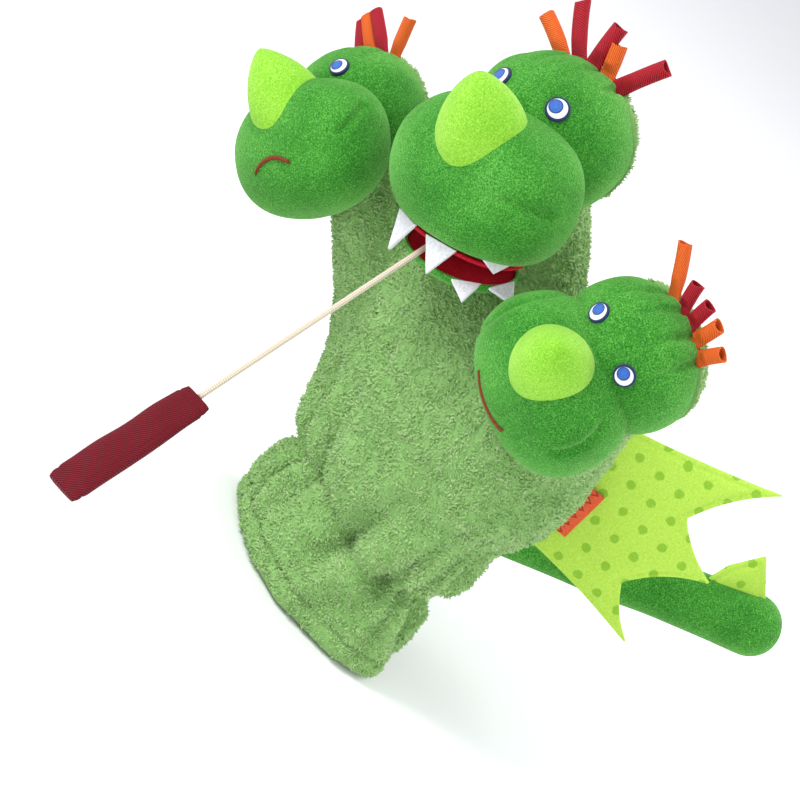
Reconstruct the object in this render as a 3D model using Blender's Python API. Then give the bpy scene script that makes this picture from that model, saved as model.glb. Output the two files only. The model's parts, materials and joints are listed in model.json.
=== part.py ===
"""Three-headed dragon glove puppet: the middle mouth opens and its tongue pulls out on an elastic cord.

Metres, +Z up. The origin is the centre of the hem's lower face, and the faces look towards -Y.
Left and right are as seen by somebody who faces the puppet.
"""

import math

import bmesh
import bpy
from mathutils import Matrix, Vector

# Clearances
SEAM_GAP = 0.0004
JOINT_GAP = 0.0012

# Glove body
CUFF_WIDTH = 0.100
CUFF_DEPTH = 0.060
WAIST_WIDTH = 0.098
WAIST_DEPTH = 0.056
WAIST_HEIGHT = 0.038
SHOULDER_WIDTH = 0.156
SHOULDER_DEPTH = 0.074
SHOULDER_HEIGHT = 0.095
BODY_HEIGHT = 0.152
BODY_SHIFT = -0.010
CUFF_FLARE = 1.025
SHOULDER_ROUNDNESS = 2.4
DEPTH_ROUNDNESS = 0.6
TOP_SHARE = 0.97
TOP_DROP = 0.006
PLUSH_WALL = 0.0035
HEM_HEIGHT = 0.009
HEM_WALL = 0.0055
HEM_PROUD = 0.001
ELASTIC_WIDTH = 0.006
ELASTIC_THICKNESS = 0.0015

# Necks
BASE_RADIUS = 0.0225
TOP_RADIUS = 0.0165
FINGER_RADIUS = 0.0105
SWING_ROOM = math.radians(19)
SHOULDER_INSET = 0.030
SIDE_NECK_LENGTH = {"left": 0.0658, "right": 0.0600}
MIDDLE_NECK_LENGTH = 0.0665
KNUCKLE_DEPTH = 0.014
SIDE_KNUCKLE_SPACE = {"left": 0.007, "right": -0.009}

# Heads, for a head of size 1
MIDDLE_SIZE = 1.08
SIDE_SIZE = 0.95
SKULL_HALF = Vector((0.0305, 0.0265, 0.0275))
NAPE_GROWTH = 1.03
HAIR_SEAM = 0.0125
MUZZLE_HALF = Vector((0.0355, 0.0240, 0.0275))
MUZZLE_CENTRE = Vector((0.0, -0.0275, -0.0165))
MUZZLE_SQUARENESS = 2.4
FINGERTIP = Vector((0.0, 0.006, -0.012))
HORN_FOOT = Vector((0.0, -0.0345, -0.002))
HORN_TIP = Vector((0.0, -0.0480, 0.0240))
HORN_RADIUS = 0.0157
HORN_SHAPE = ((1.0, 0.0), (0.99, 0.22), (0.84, 0.45), (0.60, 0.68), (0.36, 0.86), (0.17, 0.96), (0.0, 1.0))
EYE_PLACE = Vector((0.0120, -0.0178, 0.0138))
EYE_RADIUS = 0.0044
EYE_THICKNESS = 0.0012
HAIR_HALF_ROW = 0.0136
HAIR_LIFT = 0.0012
RIBBON_WIDTH = 0.0056
RIBBON_THICKNESS = 0.0009
RIBBON_LOOP = 0.0042
HAIR_LENGTHS = {
    "left": (0.015, 0.017, 0.018, 0.019, 0.017),
    "middle": (0.017, 0.020, 0.014, 0.012, 0.017),
    "right": (0.024, 0.012, 0.012, 0.013, 0.012),
}
STITCH_RADIUS = 0.0007
STITCH_HALF_WIDTH = 0.013
STITCH_HEIGHT = -0.006
STITCH_BEND = {"left": 0.005, "right": -0.005}

# Mouth of the middle head, for a head of size 1
PALATE_HEIGHT = -0.0385
LINING_THICKNESS = 0.0014
JAW_HINGE = Vector((0.0, -0.014, -0.0420))
JAW_OPEN = math.radians(16)
JAW_INSET = 0.002
JAW_BACK = -0.002
JAW_THICKNESS = 0.0075
TOOTH_WIDTH = 0.0135
TOOTH_LENGTHS = (0.0125, 0.0110, 0.0045)
TOOTH_THICKNESS = 0.0014
LOWER_TOOTH_WIDTH = 0.0105
LOWER_TOOTH_LENGTH = 0.0085
UPPER_TEETH = (-46, 4, 58)
LOWER_TEETH = (36, 76)
UPPER_TOOTH_TILT = math.radians(-14)
LOWER_TOOTH_TILT = math.radians(-68)
LOWER_TOOTH_LIFT = 0.0014
LINING_SHARE = 0.97
RIM_STEPS = 28

# Pull cord and tongue
CORD_RADIUS = 0.0011
CORD_ROUTE = (
    Vector((-0.0267, -0.0502, 0.1571)),
    Vector((-0.0124, -0.0802, 0.1303)),
    Vector((0.0021, -0.1105, 0.1034)),
    Vector((0.0166, -0.1407, 0.0765)),
)
CORD_POINTS = 27
EYELET_RADIUS = 0.0032
EYELET_HOLE = 0.0016
EYELET_THICKNESS = 0.0024
EYELET_PLACE = 0.0040
TUNNEL_ENDS = (-0.014, 0.020)
KNOT_RADIUS = 0.0028
TONGUE_LENGTH = 0.062
TONGUE_WIDTH = 0.0135
TONGUE_THICKNESS = 0.0065
TONGUE_SHAPE = ((0.0, 0.86), (0.06, 0.98), (0.32, 1.0), (0.65, 1.06), (0.89, 1.04), (0.97, 0.8), (1.0, 0.4))

# Tail, wings and label
TAIL_PIVOT = Vector((0.010, 0.0, 0.060))
TAIL_LENGTH = 0.122
TAIL_TURN = math.radians(33)
TAIL_RISE = math.radians(17)
TAIL_ROOT_RADIUS = 0.0095
TAIL_END_RADIUS = 0.0132
FIN_LENGTH = 0.034
FIN_HEIGHT = 0.018
FIN_THICKNESS = 0.0028
FIN_START_SHARE = 0.85
FIN_TIP_SHARE = 0.62
FIN_SUNK = 0.4
WING_ROOT = 0.028
WING_STANDOFF = 0.005
WING_SWEEP = math.radians(40)
WING_THICKNESS = 0.0028
WING_OUTLINE = (
    (0.000, 0.136), (0.066, 0.160), (0.046, 0.126), (0.071, 0.113),
    (0.046, 0.089), (0.066, 0.071), (0.000, 0.075),
)
LABEL_SIZE = (0.009, 0.023)
LABEL_THICKNESS = 0.0009
LABEL_PLACE = (0.013, 0.0985)

# Facets round a turned piece, and how far a head's cutters reach
ROUND_STEPS = 24
HEAD_REACH = 0.08


def clear_scene():
    for obj in list(bpy.data.objects):
        bpy.data.objects.remove(obj, do_unlink=True)


def material(name, colour, roughness=0.85):
    made = bpy.data.materials.new(name)
    made.use_nodes = True
    shader = made.node_tree.nodes["Principled BSDF"]
    shader.inputs["Base Color"].default_value = (*colour, 1.0)
    shader.inputs["Roughness"].default_value = roughness
    shader.inputs["Metallic"].default_value = 0.0
    return made


COLOURS = {
    "plush": (0.17, 0.34, 0.09),
    "velour": (0.05, 0.27, 0.025),
    "lime": (0.38, 0.66, 0.05),
    "eye": (0.80, 0.84, 0.90),
    "orange": (0.75, 0.13, 0.02),
    "red": (0.30, 0.006, 0.012),
    "lining": (0.42, 0.008, 0.012),
    "felt": (0.80, 0.80, 0.80),
    "cord": (0.72, 0.66, 0.55),
    "stitch": (0.10, 0.02, 0.008),
    "label": (0.58, 0.07, 0.02),
}


def add(name, bm, colour, parent=None, matrix=None):
    """Makes a named solid from a bmesh, in its parent's axes."""
    bmesh.ops.recalc_face_normals(bm, faces=bm.faces)
    mesh = bpy.data.meshes.new(name)
    bm.to_mesh(mesh)
    bm.free()
    mesh.shade_smooth()
    obj = bpy.data.objects.new(name, mesh)
    bpy.context.scene.collection.objects.link(obj)
    obj.data.materials.append(material(name, COLOURS[colour]))
    if parent:
        obj.parent = parent
    if matrix:
        obj.matrix_local = matrix
    return obj


def helper(obj):
    """Marks a solid as a cutter, which is no piece of the puppet."""
    obj.hide_render = True
    obj.display_type = "WIRE"
    return obj


def cut(obj, *cutters):
    for cutter in cutters:
        step = obj.modifiers.new("cut " + cutter.name, "BOOLEAN")
        step.operation = "DIFFERENCE"
        step.object = cutter


def axis_empty(name, place, turn=None, parent=None):
    """An empty on a joint's axis: what moves with the joint is its child."""
    empty = bpy.data.objects.new(name, None)
    bpy.context.scene.collection.objects.link(empty)
    matrix = Matrix.Translation(place)
    if turn:
        matrix = matrix @ turn.to_4x4()
    empty.matrix_world = matrix
    if parent:
        empty.parent = parent
    return empty


# ---- Shapes ----


def ellipsoid(half, centre=(0, 0, 0), across=ROUND_STEPS, along=14):
    bm = bmesh.new()
    place = Matrix.Translation(centre) @ Matrix.Diagonal((*half, 1))
    bmesh.ops.create_uvsphere(bm, u_segments=across, v_segments=along, radius=1, matrix=place)
    return bm


def squared(direction):
    """Length of a direction in a rounded box of half size 1, so dividing by it reaches the box."""
    return sum(abs(part) ** MUZZLE_SQUARENESS for part in direction) ** (1 / MUZZLE_SQUARENESS)


def rounded_box(half, centre):
    """A ball pushed out towards a box: the shape of a stuffed muzzle."""
    bm = bmesh.new()
    bmesh.ops.create_uvsphere(bm, u_segments=ROUND_STEPS, v_segments=16, radius=1)
    for vert in bm.verts:
        on_box = vert.co / squared(vert.co)
        vert.co = Vector(a * b for a, b in zip(on_box, half)) + centre
    return bm


def block(low, high):
    bm = bmesh.new()
    low, high = Vector(low), Vector(high)
    place = Matrix.Translation((low + high) / 2) @ Matrix.Diagonal((*(high - low), 1))
    bmesh.ops.create_cube(bm, size=1, matrix=place)
    return bm


def turned(profile, steps=ROUND_STEPS):
    """Spins a profile of (radius, height) points round Z. A point at radius 0 closes an end."""
    bm = bmesh.new()
    points = [bm.verts.new((radius, 0, height)) for radius, height in profile]
    edges = [bm.edges.new(pair) for pair in zip(points, points[1:])]
    if profile[0][0] > 0 and profile[-1][0] > 0:
        edges.append(bm.edges.new((points[-1], points[0])))
    bmesh.ops.spin(
        bm, geom=points + edges, cent=(0, 0, 0), axis=(0, 0, 1), angle=math.tau,
        steps=steps, use_merge=True,
    )
    bmesh.ops.remove_doubles(bm, verts=bm.verts, dist=1e-6)
    return bm


def loft(rings, cyclic=False):
    """Skins rings that have equal point counts, and caps the ends unless it is cyclic."""
    bm = bmesh.new()
    rows = [[bm.verts.new(point) for point in ring] for ring in rings]
    pairs = list(zip(rows, rows[1:]))
    if cyclic:
        pairs.append((rows[-1], rows[0]))
    for low, high in pairs:
        for i in range(len(low)):
            j = (i + 1) % len(low)
            bm.faces.new((low[i], low[j], high[j], high[i]))
    if not cyclic:
        bm.faces.new(rows[0][::-1])
        bm.faces.new(rows[-1])
    return bm


def plate(outline, thickness):
    """Extrudes an outline in the XZ plane to both sides of Y = 0."""
    bm = bmesh.new()
    face = bm.faces.new([bm.verts.new((x, -thickness / 2, z)) for x, z in outline])
    grown = bmesh.ops.extrude_face_region(bm, geom=[face])
    moved = [item for item in grown["geom"] if isinstance(item, bmesh.types.BMVert)]
    bmesh.ops.translate(bm, verts=moved, vec=(0, thickness, 0))
    return bm


def arc(radius, centre, start, end, count):
    """Points of (radius, height) on an arc about a centre on the axis, angles from the +Z pole."""
    angles = [start + (end - start) * i / count for i in range(count + 1)]
    return [(radius * math.sin(a), centre + radius * math.cos(a)) for a in angles]


def capsule_profile(low_radius, high_radius, length, count=6):
    """Two balls and the cone that touches both, from the upper pole down to the lower one."""
    tilt = math.pi / 2 - math.asin((low_radius - high_radius) / length)
    top = arc(high_radius, length, 0, tilt, count)
    bottom = arc(low_radius, 0, tilt, math.pi, count)
    return top + bottom


def along(start, direction):
    """Matrix that puts Z along a direction, from a start point."""
    turn = Vector(direction).to_track_quat("Z", "Y").to_matrix().to_4x4()
    return Matrix.Translation(start) @ turn


# ---- Glove body ----


def body_section(z, inset=0.0, count=32):
    """One level of the glove: an ellipse that narrows at the wrist and swells to the shoulders."""
    levels = (
        (0.0, 0.0, CUFF_WIDTH, CUFF_DEPTH),
        (0.3 * WAIST_HEIGHT, 0.0, CUFF_WIDTH * CUFF_FLARE, CUFF_DEPTH * CUFF_FLARE),
        (WAIST_HEIGHT, 0.0, WAIST_WIDTH, WAIST_DEPTH),
        ((WAIST_HEIGHT + SHOULDER_HEIGHT) / 2, BODY_SHIFT / 2,
         (WAIST_WIDTH + SHOULDER_WIDTH) / 2, (WAIST_DEPTH + SHOULDER_DEPTH) / 2),
        (SHOULDER_HEIGHT, BODY_SHIFT, SHOULDER_WIDTH, SHOULDER_DEPTH),
    )
    if z >= SHOULDER_HEIGHT:
        rise = min((z - SHOULDER_HEIGHT) / (BODY_HEIGHT - SHOULDER_HEIGHT), TOP_SHARE)
        fall = math.sqrt(1 - rise ** SHOULDER_ROUNDNESS)
        shift = BODY_SHIFT
        width = SHOULDER_WIDTH * fall
        depth = SHOULDER_DEPTH * fall ** DEPTH_ROUNDNESS
    else:
        for low, high in zip(levels, levels[1:]):
            if low[0] <= max(z, 0.0) <= high[0]:
                part = (max(z, 0.0) - low[0]) / (high[0] - low[0])
                part = part * part * (3 - 2 * part)
                shift, width, depth = (a + (b - a) * part for a, b in zip(low[1:], high[1:]))
    angles = [math.tau * i / count for i in range(count)]
    return [
        Vector((shift + (width / 2 - inset) * math.cos(a), (depth / 2 - inset) * math.sin(a), z))
        for a in angles
    ]


def body_levels(low, high, count):
    return [low + (high - low) * i / count for i in range(count + 1)]


def body_solid(inset, low):
    top = BODY_HEIGHT - TOP_DROP - inset
    return loft([body_section(z, inset) for z in body_levels(low, top, 14)])


def ring_band(low, high, outer_inset, inner_inset):
    """A closed band round the body, with a rectangular section."""
    corners = ((low, outer_inset), (high, outer_inset), (high, inner_inset), (low, inner_inset))
    return loft([body_section(z, inset) for z, inset in corners], cyclic=True)


def make_body(neck_cutters):
    reach = SHOULDER_WIDTH
    inside = helper(add("hand_space", body_solid(PLUSH_WALL, -0.01), "plush"))
    for name, side in (("front_panel", 1), ("back_panel", -1)):
        panel = add(name, body_solid(0.0, HEM_HEIGHT + SEAM_GAP), "plush")
        half = block((-reach, -SEAM_GAP / 2, -reach), (reach, reach, 2 * reach))
        if side < 0:
            half = block((-reach, -reach, -reach), (reach, SEAM_GAP / 2, 2 * reach))
        half_cutter = helper(add(name + "_half", half, "plush"))
        cut(panel, inside, half_cutter, *neck_cutters)
    add("cuff_hem", ring_band(0.0, HEM_HEIGHT, -HEM_PROUD, HEM_WALL), "plush")
    inset = PLUSH_WALL + SEAM_GAP
    half_band = ELASTIC_WIDTH / 2
    add(
        "wrist_elastic",
        ring_band(
            WAIST_HEIGHT - half_band, WAIST_HEIGHT + half_band, inset, inset + ELASTIC_THICKNESS
        ),
        "felt",
    )


# ---- Necks ----


def neck_layout():
    """Knuckle point, direction and length of each neck, and how its head is turned, in degrees."""
    half = SHOULDER_WIDTH / 2
    below = {side: 2 * BASE_RADIUS + space for side, space in SIDE_KNUCKLE_SPACE.items()}
    return {
        "left": dict(
            knuckle=Vector((BODY_SHIFT - half + SHOULDER_INSET, -0.006, BODY_HEIGHT - below["left"])),
            direction=Vector((-43.2, -28.8, 40.4)).normalized(),
            length=SIDE_NECK_LENGTH["left"], size=SIDE_SIZE, yaw=-13, pitch=24, lean=-53,
        ),
        "middle": dict(
            knuckle=Vector((BODY_SHIFT - 0.002, 0.002, BODY_HEIGHT - KNUCKLE_DEPTH)),
            direction=Vector((-23.5, -28.3, 55.4)).normalized(),
            length=MIDDLE_NECK_LENGTH, size=MIDDLE_SIZE, yaw=10, pitch=15, lean=-19,
        ),
        "right": dict(
            knuckle=Vector((
                BODY_SHIFT + half - SHOULDER_INSET + 0.002, 0.0, BODY_HEIGHT - below["right"]
            )),
            direction=Vector((12.0, -20.8, 55.0)).normalized(),
            length=SIDE_NECK_LENGTH["right"], size=SIDE_SIZE, yaw=13, pitch=27, lean=17,
        ),
    }


def make_neck(name, neck):
    """A padded finger sleeve whose two ends are balls, with the finger's tunnel through it."""
    knuckle = axis_empty(name + "_neck_axis", neck["knuckle"])
    outside = capsule_profile(BASE_RADIUS, TOP_RADIUS, neck["length"])
    outside = [point for point in outside if point[0] > FINGER_RADIUS]
    high = neck["length"] + math.sqrt(TOP_RADIUS ** 2 - FINGER_RADIUS ** 2)
    low = -math.sqrt(BASE_RADIUS ** 2 - FINGER_RADIUS ** 2)
    sleeve = turned([(FINGER_RADIUS, high), *outside, (FINGER_RADIUS, low)])
    for vert in sleeve.verts:
        vert.co = along((0, 0, 0), neck["direction"]) @ vert.co
    add(name + "_neck", sleeve, "plush", parent=knuckle)
    return knuckle


def socket_cutter(name, ball_radius, other_radius, start, direction, reach):
    """The room that a neck's ball and its swing need inside the piece that it turns in."""
    far = other_radius + JOINT_GAP + reach * math.sin(SWING_ROOM)
    profile = capsule_profile(ball_radius + JOINT_GAP, far, reach)
    cutter = add(name, turned(profile), "plush", matrix=along(start, direction))
    return helper(cutter)


# ---- Heads ----


def head_turn(neck):
    yaw = Matrix.Rotation(math.radians(neck["yaw"]), 3, "Z")
    lean = Matrix.Rotation(math.radians(neck["lean"]), 3, "Y")
    pitch = Matrix.Rotation(math.radians(neck["pitch"]), 3, "X")
    return yaw @ lean @ pitch


class Head:
    """Places pieces of one head: points are given for size 1, from the middle of the skull."""

    def __init__(self, name, neck):
        self.name = name
        self.size = neck["size"]
        self.turn = head_turn(neck)
        self.fingertip = neck["knuckle"] + neck["direction"] * neck["length"]
        self.empty = axis_empty(name + "_head_axis", self.fingertip, self.turn)
        self.room = socket_cutter(
            name + "_head_room", TOP_RADIUS, BASE_RADIUS,
            self.fingertip, -neck["direction"], neck["length"],
        )

    def point(self, place):
        return (Vector(place) - FINGERTIP) * self.size

    def world(self, place):
        return self.fingertip + self.turn @ self.point(place)

    def add(self, part, bm, colour, parent=None):
        for vert in bm.verts:
            vert.co = self.point(vert.co)
        return add(f"{self.name}_{part}", bm, colour, parent=parent or self.empty)

    def helper(self, part, bm):
        return helper(self.add(part, bm, "plush"))


def surface_point(direction, half, centre, lift=0.0):
    """Where a ray from the centre leaves an ellipsoid, lifted along its normal, and that normal."""
    flat = Vector(a / b for a, b in zip(direction, half))
    on = Vector(direction) / flat.length
    normal = Vector(a / b ** 2 for a, b in zip(on, half)).normalized()
    return Vector(centre) + on + normal * lift, normal


def muzzle_point(direction, lift=0.0):
    """Where a ray from the muzzle's middle leaves it, lifted outwards."""
    on = Vector(direction) / squared(Vector(a / b for a, b in zip(direction, MUZZLE_HALF)))
    return MUZZLE_CENTRE + on + Vector(direction).normalized() * lift


def make_skull(head):
    far = HEAD_REACH
    gap = SEAM_GAP / head.size
    behind = head.helper("skull_behind", block((-far, HAIR_SEAM, -far), (far, far, far)))
    before = head.helper("skull_before", block((-far, -far, -far), (far, HAIR_SEAM + gap, far)))
    skull = head.add("skull", ellipsoid(SKULL_HALF), "velour")
    cut(skull, behind, head.room)
    nape = head.add("nape", ellipsoid(SKULL_HALF * NAPE_GROWTH), "plush")
    cut(nape, before, head.room)


def make_muzzle(head):
    grown = 1 + 2 * SEAM_GAP / (head.size * SKULL_HALF.x)
    head.skull_room = head.helper("skull_room", ellipsoid(SKULL_HALF * NAPE_GROWTH * grown))
    muzzle = head.add("muzzle", rounded_box(MUZZLE_HALF, MUZZLE_CENTRE), "velour")
    cut(muzzle, head.skull_room, head.room)
    return muzzle


def make_horn(head):
    axis = HORN_TIP - HORN_FOOT
    length = axis.length
    horn = turned([(HORN_RADIUS * r, length * t) for r, t in HORN_SHAPE] + [(0.0, 0.0)])
    for vert in horn.verts:
        vert.co = along(HORN_FOOT, axis) @ vert.co
    grown = 1 + 2 * SEAM_GAP / (head.size * MUZZLE_HALF.z)
    muzzle_room = head.helper("muzzle_room", rounded_box(MUZZLE_HALF * grown, MUZZLE_CENTRE))
    piece = head.add("horn", horn, "lime")
    cut(piece, muzzle_room, head.skull_room)


def make_eyes(head):
    for side, part in ((-1, "eye_1"), (1, "eye_2")):
        aim = Vector((side * EYE_PLACE.x, EYE_PLACE.y, EYE_PLACE.z))
        place, normal = surface_point(aim, SKULL_HALF, (0, 0, 0), SEAM_GAP / head.size)
        profile = ((0.0, EYE_THICKNESS), (EYE_RADIUS * 0.75, EYE_THICKNESS * 0.9),
                   (EYE_RADIUS, EYE_THICKNESS * 0.4), (EYE_RADIUS, 0.0), (0.0, 0.0))
        eye = turned(profile, 16)
        for vert in eye.verts:
            vert.co = along(place, normal) @ vert.co
        head.add(part, eye, "eye")


def ribbon_loop(length):
    """A short ribbon folded on itself: a flat strip that follows a tall narrow loop."""
    half_loop = RIBBON_LOOP / 2
    count = 6
    path = []
    for i in range(count + 1):
        angle = math.pi * i / count
        path.append(((half_loop * math.cos(angle), length - half_loop + half_loop * math.sin(angle)),
                     (math.cos(angle), math.sin(angle))))
    path.append(((-half_loop, 0.0), (-1, -1)))
    path.append(((half_loop, 0.0), (1, -1)))
    rings = []
    for (y, z), (ny, nz) in path:
        inner = (y - ny * RIBBON_THICKNESS, z - nz * RIBBON_THICKNESS)
        rings.append([
            Vector((-RIBBON_WIDTH / 2, y, z)), Vector((RIBBON_WIDTH / 2, y, z)),
            Vector((RIBBON_WIDTH / 2, *inner)), Vector((-RIBBON_WIDTH / 2, *inner)),
        ])
    return loft(rings, cyclic=True)


def make_hair(head):
    """Five ribbon loops stand in a row along the seam over the crown."""
    colours = {"left": "ororo", "middle": "orror", "right": "orroo"}[head.name]
    names = {"o": "orange", "r": "red"}
    half = SKULL_HALF * NAPE_GROWTH
    for i, length in enumerate(HAIR_LENGTHS[head.name]):
        across = HAIR_HALF_ROW * (i - 2) / 2
        level = half.z * math.sqrt(1 - (across / half.x) ** 2 - (HAIR_SEAM / half.y) ** 2)
        aim = Vector((across, HAIR_SEAM, level))
        place, normal = surface_point(aim, half, (0, 0, 0), HAIR_LIFT)
        spread = Vector((across * 0.5, HAIR_SEAM * 0.4, level)).normalized()
        loop = ribbon_loop(length)
        for vert in loop.verts:
            vert.co = along(place, spread) @ vert.co
        head.add(f"hair_{i + 1}", loop, names[colours[i]])


def make_stitched_mouth(head):
    """One embroidered line across the front of a muzzle, bent up or down at its ends."""
    rows = 12
    bend = STITCH_BEND[head.name]
    path = []
    for i in range(rows + 1):
        share = 2 * i / rows - 1
        level = STITCH_HEIGHT + bend * (1 - share ** 2)
        aim = Vector((STITCH_HALF_WIDTH * share, -MUZZLE_HALF.y, level))
        path.append(head.world(muzzle_point(aim, STITCH_RADIUS + 2 * SEAM_GAP)))
    tube(f"{head.name}_mouth_stitch", path, STITCH_RADIUS * head.size, "stitch")


def tube(name, path, radius, colour):
    """A round cord as a bevelled curve with filled ends, its points in world axes."""
    curve = bpy.data.curves.new(name, "CURVE")
    curve.dimensions = "3D"
    curve.bevel_depth = radius
    curve.bevel_resolution = 2
    curve.use_fill_caps = True
    spline = curve.splines.new("POLY")
    spline.points.add(len(path) - 1)
    for point, place in zip(spline.points, path):
        point.co = (*place, 1)
    curve.materials.append(material(name, COLOURS[colour]))
    obj = bpy.data.objects.new(name, curve)
    bpy.context.scene.collection.objects.link(obj)
    return obj


# ---- Mouth, teeth, cord and tongue ----


def tooth(width, length, thickness):
    """A felt triangle that hangs down from its sewn edge, at the origin."""
    outline = ((-width / 2, 0), (0, -length), (width / 2, 0))
    return plate(outline, thickness)


def rim_point(angle, share, height):
    """A point on the outline of the muzzle's cut face, by its angle from the front."""
    drop = (height - MUZZLE_CENTRE.z) / MUZZLE_HALF.z
    turn = math.radians(angle)
    left = 1 - abs(drop) ** MUZZLE_SQUARENESS
    level = left ** (1 / MUZZLE_SQUARENESS) / squared((math.sin(turn), math.cos(turn)))
    return Vector((
        MUZZLE_HALF.x * level * share * math.sin(turn),
        MUZZLE_CENTRE.y - MUZZLE_HALF.y * level * share * math.cos(turn),
        height,
    ))


def lining_plate(height):
    """The felt that closes the muzzle underneath, a little inside its cut edge."""
    low, high = [], []
    for i in range(RIM_STEPS):
        edge = rim_point(360 * i / RIM_STEPS, LINING_SHARE, PALATE_HEIGHT)
        low.append(Vector((edge.x, edge.y, height - LINING_THICKNESS)))
        high.append(Vector((edge.x, edge.y, height)))
    return loft([low, high])


def make_mouth(head, muzzle):
    far = HEAD_REACH
    gap = SEAM_GAP / head.size
    mouth = head.helper("mouth_space", block((-far, -far, -far), (far, far, PALATE_HEIGHT)))
    cut(muzzle, mouth)
    palate = head.add("palate_lining", lining_plate(PALATE_HEIGHT - gap), "lining")
    cut(palate, head.room)
    for i, angle in enumerate(UPPER_TEETH):
        place = rim_point(angle, 1.0, PALATE_HEIGHT - gap - LINING_THICKNESS - gap)
        felt = tooth(TOOTH_WIDTH, TOOTH_LENGTHS[i], TOOTH_THICKNESS)
        stand = Matrix.Rotation(math.radians(angle), 4, "Z") @ Matrix.Rotation(UPPER_TOOTH_TILT, 4, "X")
        for vert in felt.verts:
            vert.co = Matrix.Translation(place) @ stand @ vert.co
        head.add(f"upper_tooth_{i + 1}", felt, "felt")
    return palate


def make_jaw(head):
    """The lower jaw turns about a line at the back of the mouth."""
    hinge = axis_empty("jaw_axis", head.world(JAW_HINGE), head.turn)
    open_turn = Matrix.Rotation(JAW_OPEN, 3, "X")
    far = HEAD_REACH

    def jaw_add(part, bm, colour):
        for vert in bm.verts:
            vert.co = open_turn @ (vert.co * head.size)
        return add(part, bm, colour, parent=hinge)

    front = rim_point(0, 1, PALATE_HEIGHT).y + JAW_INSET - JAW_HINGE.y
    half = Vector((
        rim_point(90, 1, PALATE_HEIGHT).x - JAW_INSET,
        (rim_point(180, 1, PALATE_HEIGHT).y - rim_point(0, 1, PALATE_HEIGHT).y) / 2 - JAW_INSET,
        JAW_THICKNESS,
    ))
    centre = Vector((0, front + half.y, 0))
    jaw = jaw_add("lower_jaw", ellipsoid(half, centre), "velour")
    top = -LINING_THICKNESS - SEAM_GAP / head.size
    above = helper(jaw_add("jaw_above", block((-far, -far, top), (far, far, far)), "plush"))
    back = helper(jaw_add("jaw_behind", block((-far, JAW_BACK, -far), (far, far, far)), "plush"))
    cut(jaw, above, back, head.room)
    low, high = [], []
    for i in range(RIM_STEPS):
        turn = math.tau * i / RIM_STEPS
        x = half.x * LINING_SHARE * math.sin(turn)
        y = centre.y - half.y * LINING_SHARE * math.cos(turn)
        low.append(Vector((x, y, -LINING_THICKNESS)))
        high.append(Vector((x, y, 0)))
    felt = jaw_add("jaw_lining", loft([low, high]), "lining")
    cut(felt, back, head.room)
    for i, angle in enumerate(LOWER_TEETH):
        turn = math.radians(angle)
        place = Vector((half.x * math.sin(turn), centre.y - half.y * math.cos(turn), LOWER_TOOTH_LIFT))
        felt_tooth = tooth(LOWER_TOOTH_WIDTH, LOWER_TOOTH_LENGTH, TOOTH_THICKNESS)
        flop = Matrix.Rotation(turn, 4, "Z") @ Matrix.Rotation(LOWER_TOOTH_TILT, 4, "X")
        for vert in felt_tooth.verts:
            vert.co = Matrix.Translation(place) @ flop @ vert.co
        jaw_add(f"lower_tooth_{i + 1}", felt_tooth, "felt")


def cord_path():
    """Even steps along the smooth route from the throat to the tongue."""
    first, last = CORD_ROUTE[0], CORD_ROUTE[-1]
    spans = len(CORD_ROUTE) - 1
    points = []
    for i in range(CORD_POINTS):
        share = i / (CORD_POINTS - 1) * spans
        span = min(int(share), spans - 1)
        low, high = CORD_ROUTE[span], CORD_ROUTE[span + 1]
        before = CORD_ROUTE[span - 1] if span else first
        after = CORD_ROUTE[span + 2] if span + 2 <= spans else last
        t = share - span
        points.append((
            2 * low + (high - before) * t
            + (2 * before - 5 * low + 4 * high - after) * t ** 2
            + (3 * low - before - 3 * high + after) * t ** 3
        ) / 2)
    return points


def make_cord(muzzle, palate):
    """Cord, the eyelet it passes, the knot that stops it, and the tongue that is its handle."""
    path = cord_path()
    out = (path[-1] - path[0]).normalized()
    tube("pull_cord", path, CORD_RADIUS, "cord")
    pocket = EYELET_RADIUS + SEAM_GAP
    low, high = TUNNEL_ENDS
    bore = turned([(0, low), (pocket, low), (pocket, high), (0, high)], 16)
    tunnel = helper(add("cord_tunnel", bore, "plush", matrix=along(path[0], out)))
    cut(muzzle, tunnel)
    cut(palate, tunnel)
    half = EYELET_THICKNESS / 2
    edge = ((EYELET_HOLE, -half), (EYELET_RADIUS, -half), (EYELET_RADIUS, half), (EYELET_HOLE, half))
    add("cord_eyelet", turned(edge, 16), "stitch", matrix=along(path[0] + out * EYELET_PLACE, out))
    knot = ellipsoid((KNOT_RADIUS, KNOT_RADIUS, KNOT_RADIUS), (0, 0, 0), 12, 8)
    add("cord_knot", knot, "cord", matrix=along(path[0] - out * (KNOT_RADIUS + SEAM_GAP), out))
    slide = axis_empty("tongue_axis", path[-1])
    rings = []
    angles = [math.tau * i / 16 for i in range(16)]
    for level, share in TONGUE_SHAPE:
        half_w, half_t = share * TONGUE_WIDTH / 2, share * TONGUE_THICKNESS / 2
        height = level * TONGUE_LENGTH + SEAM_GAP
        rings.append([Vector((half_w * math.cos(a), half_t * math.sin(a), height)) for a in angles])
    tongue = loft(rings)
    for vert in tongue.verts:
        vert.co = along((0, 0, 0), out) @ vert.co
    add("tongue", tongue, "red", parent=slide)


# ---- Tail, wings and label ----


def back_surface(x, z):
    """How far back the glove reaches at a place on its back."""
    section = body_section(z)
    near = min((point for point in section if point.y > 0), key=lambda point: abs(point.x - x))
    return near.y


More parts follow.
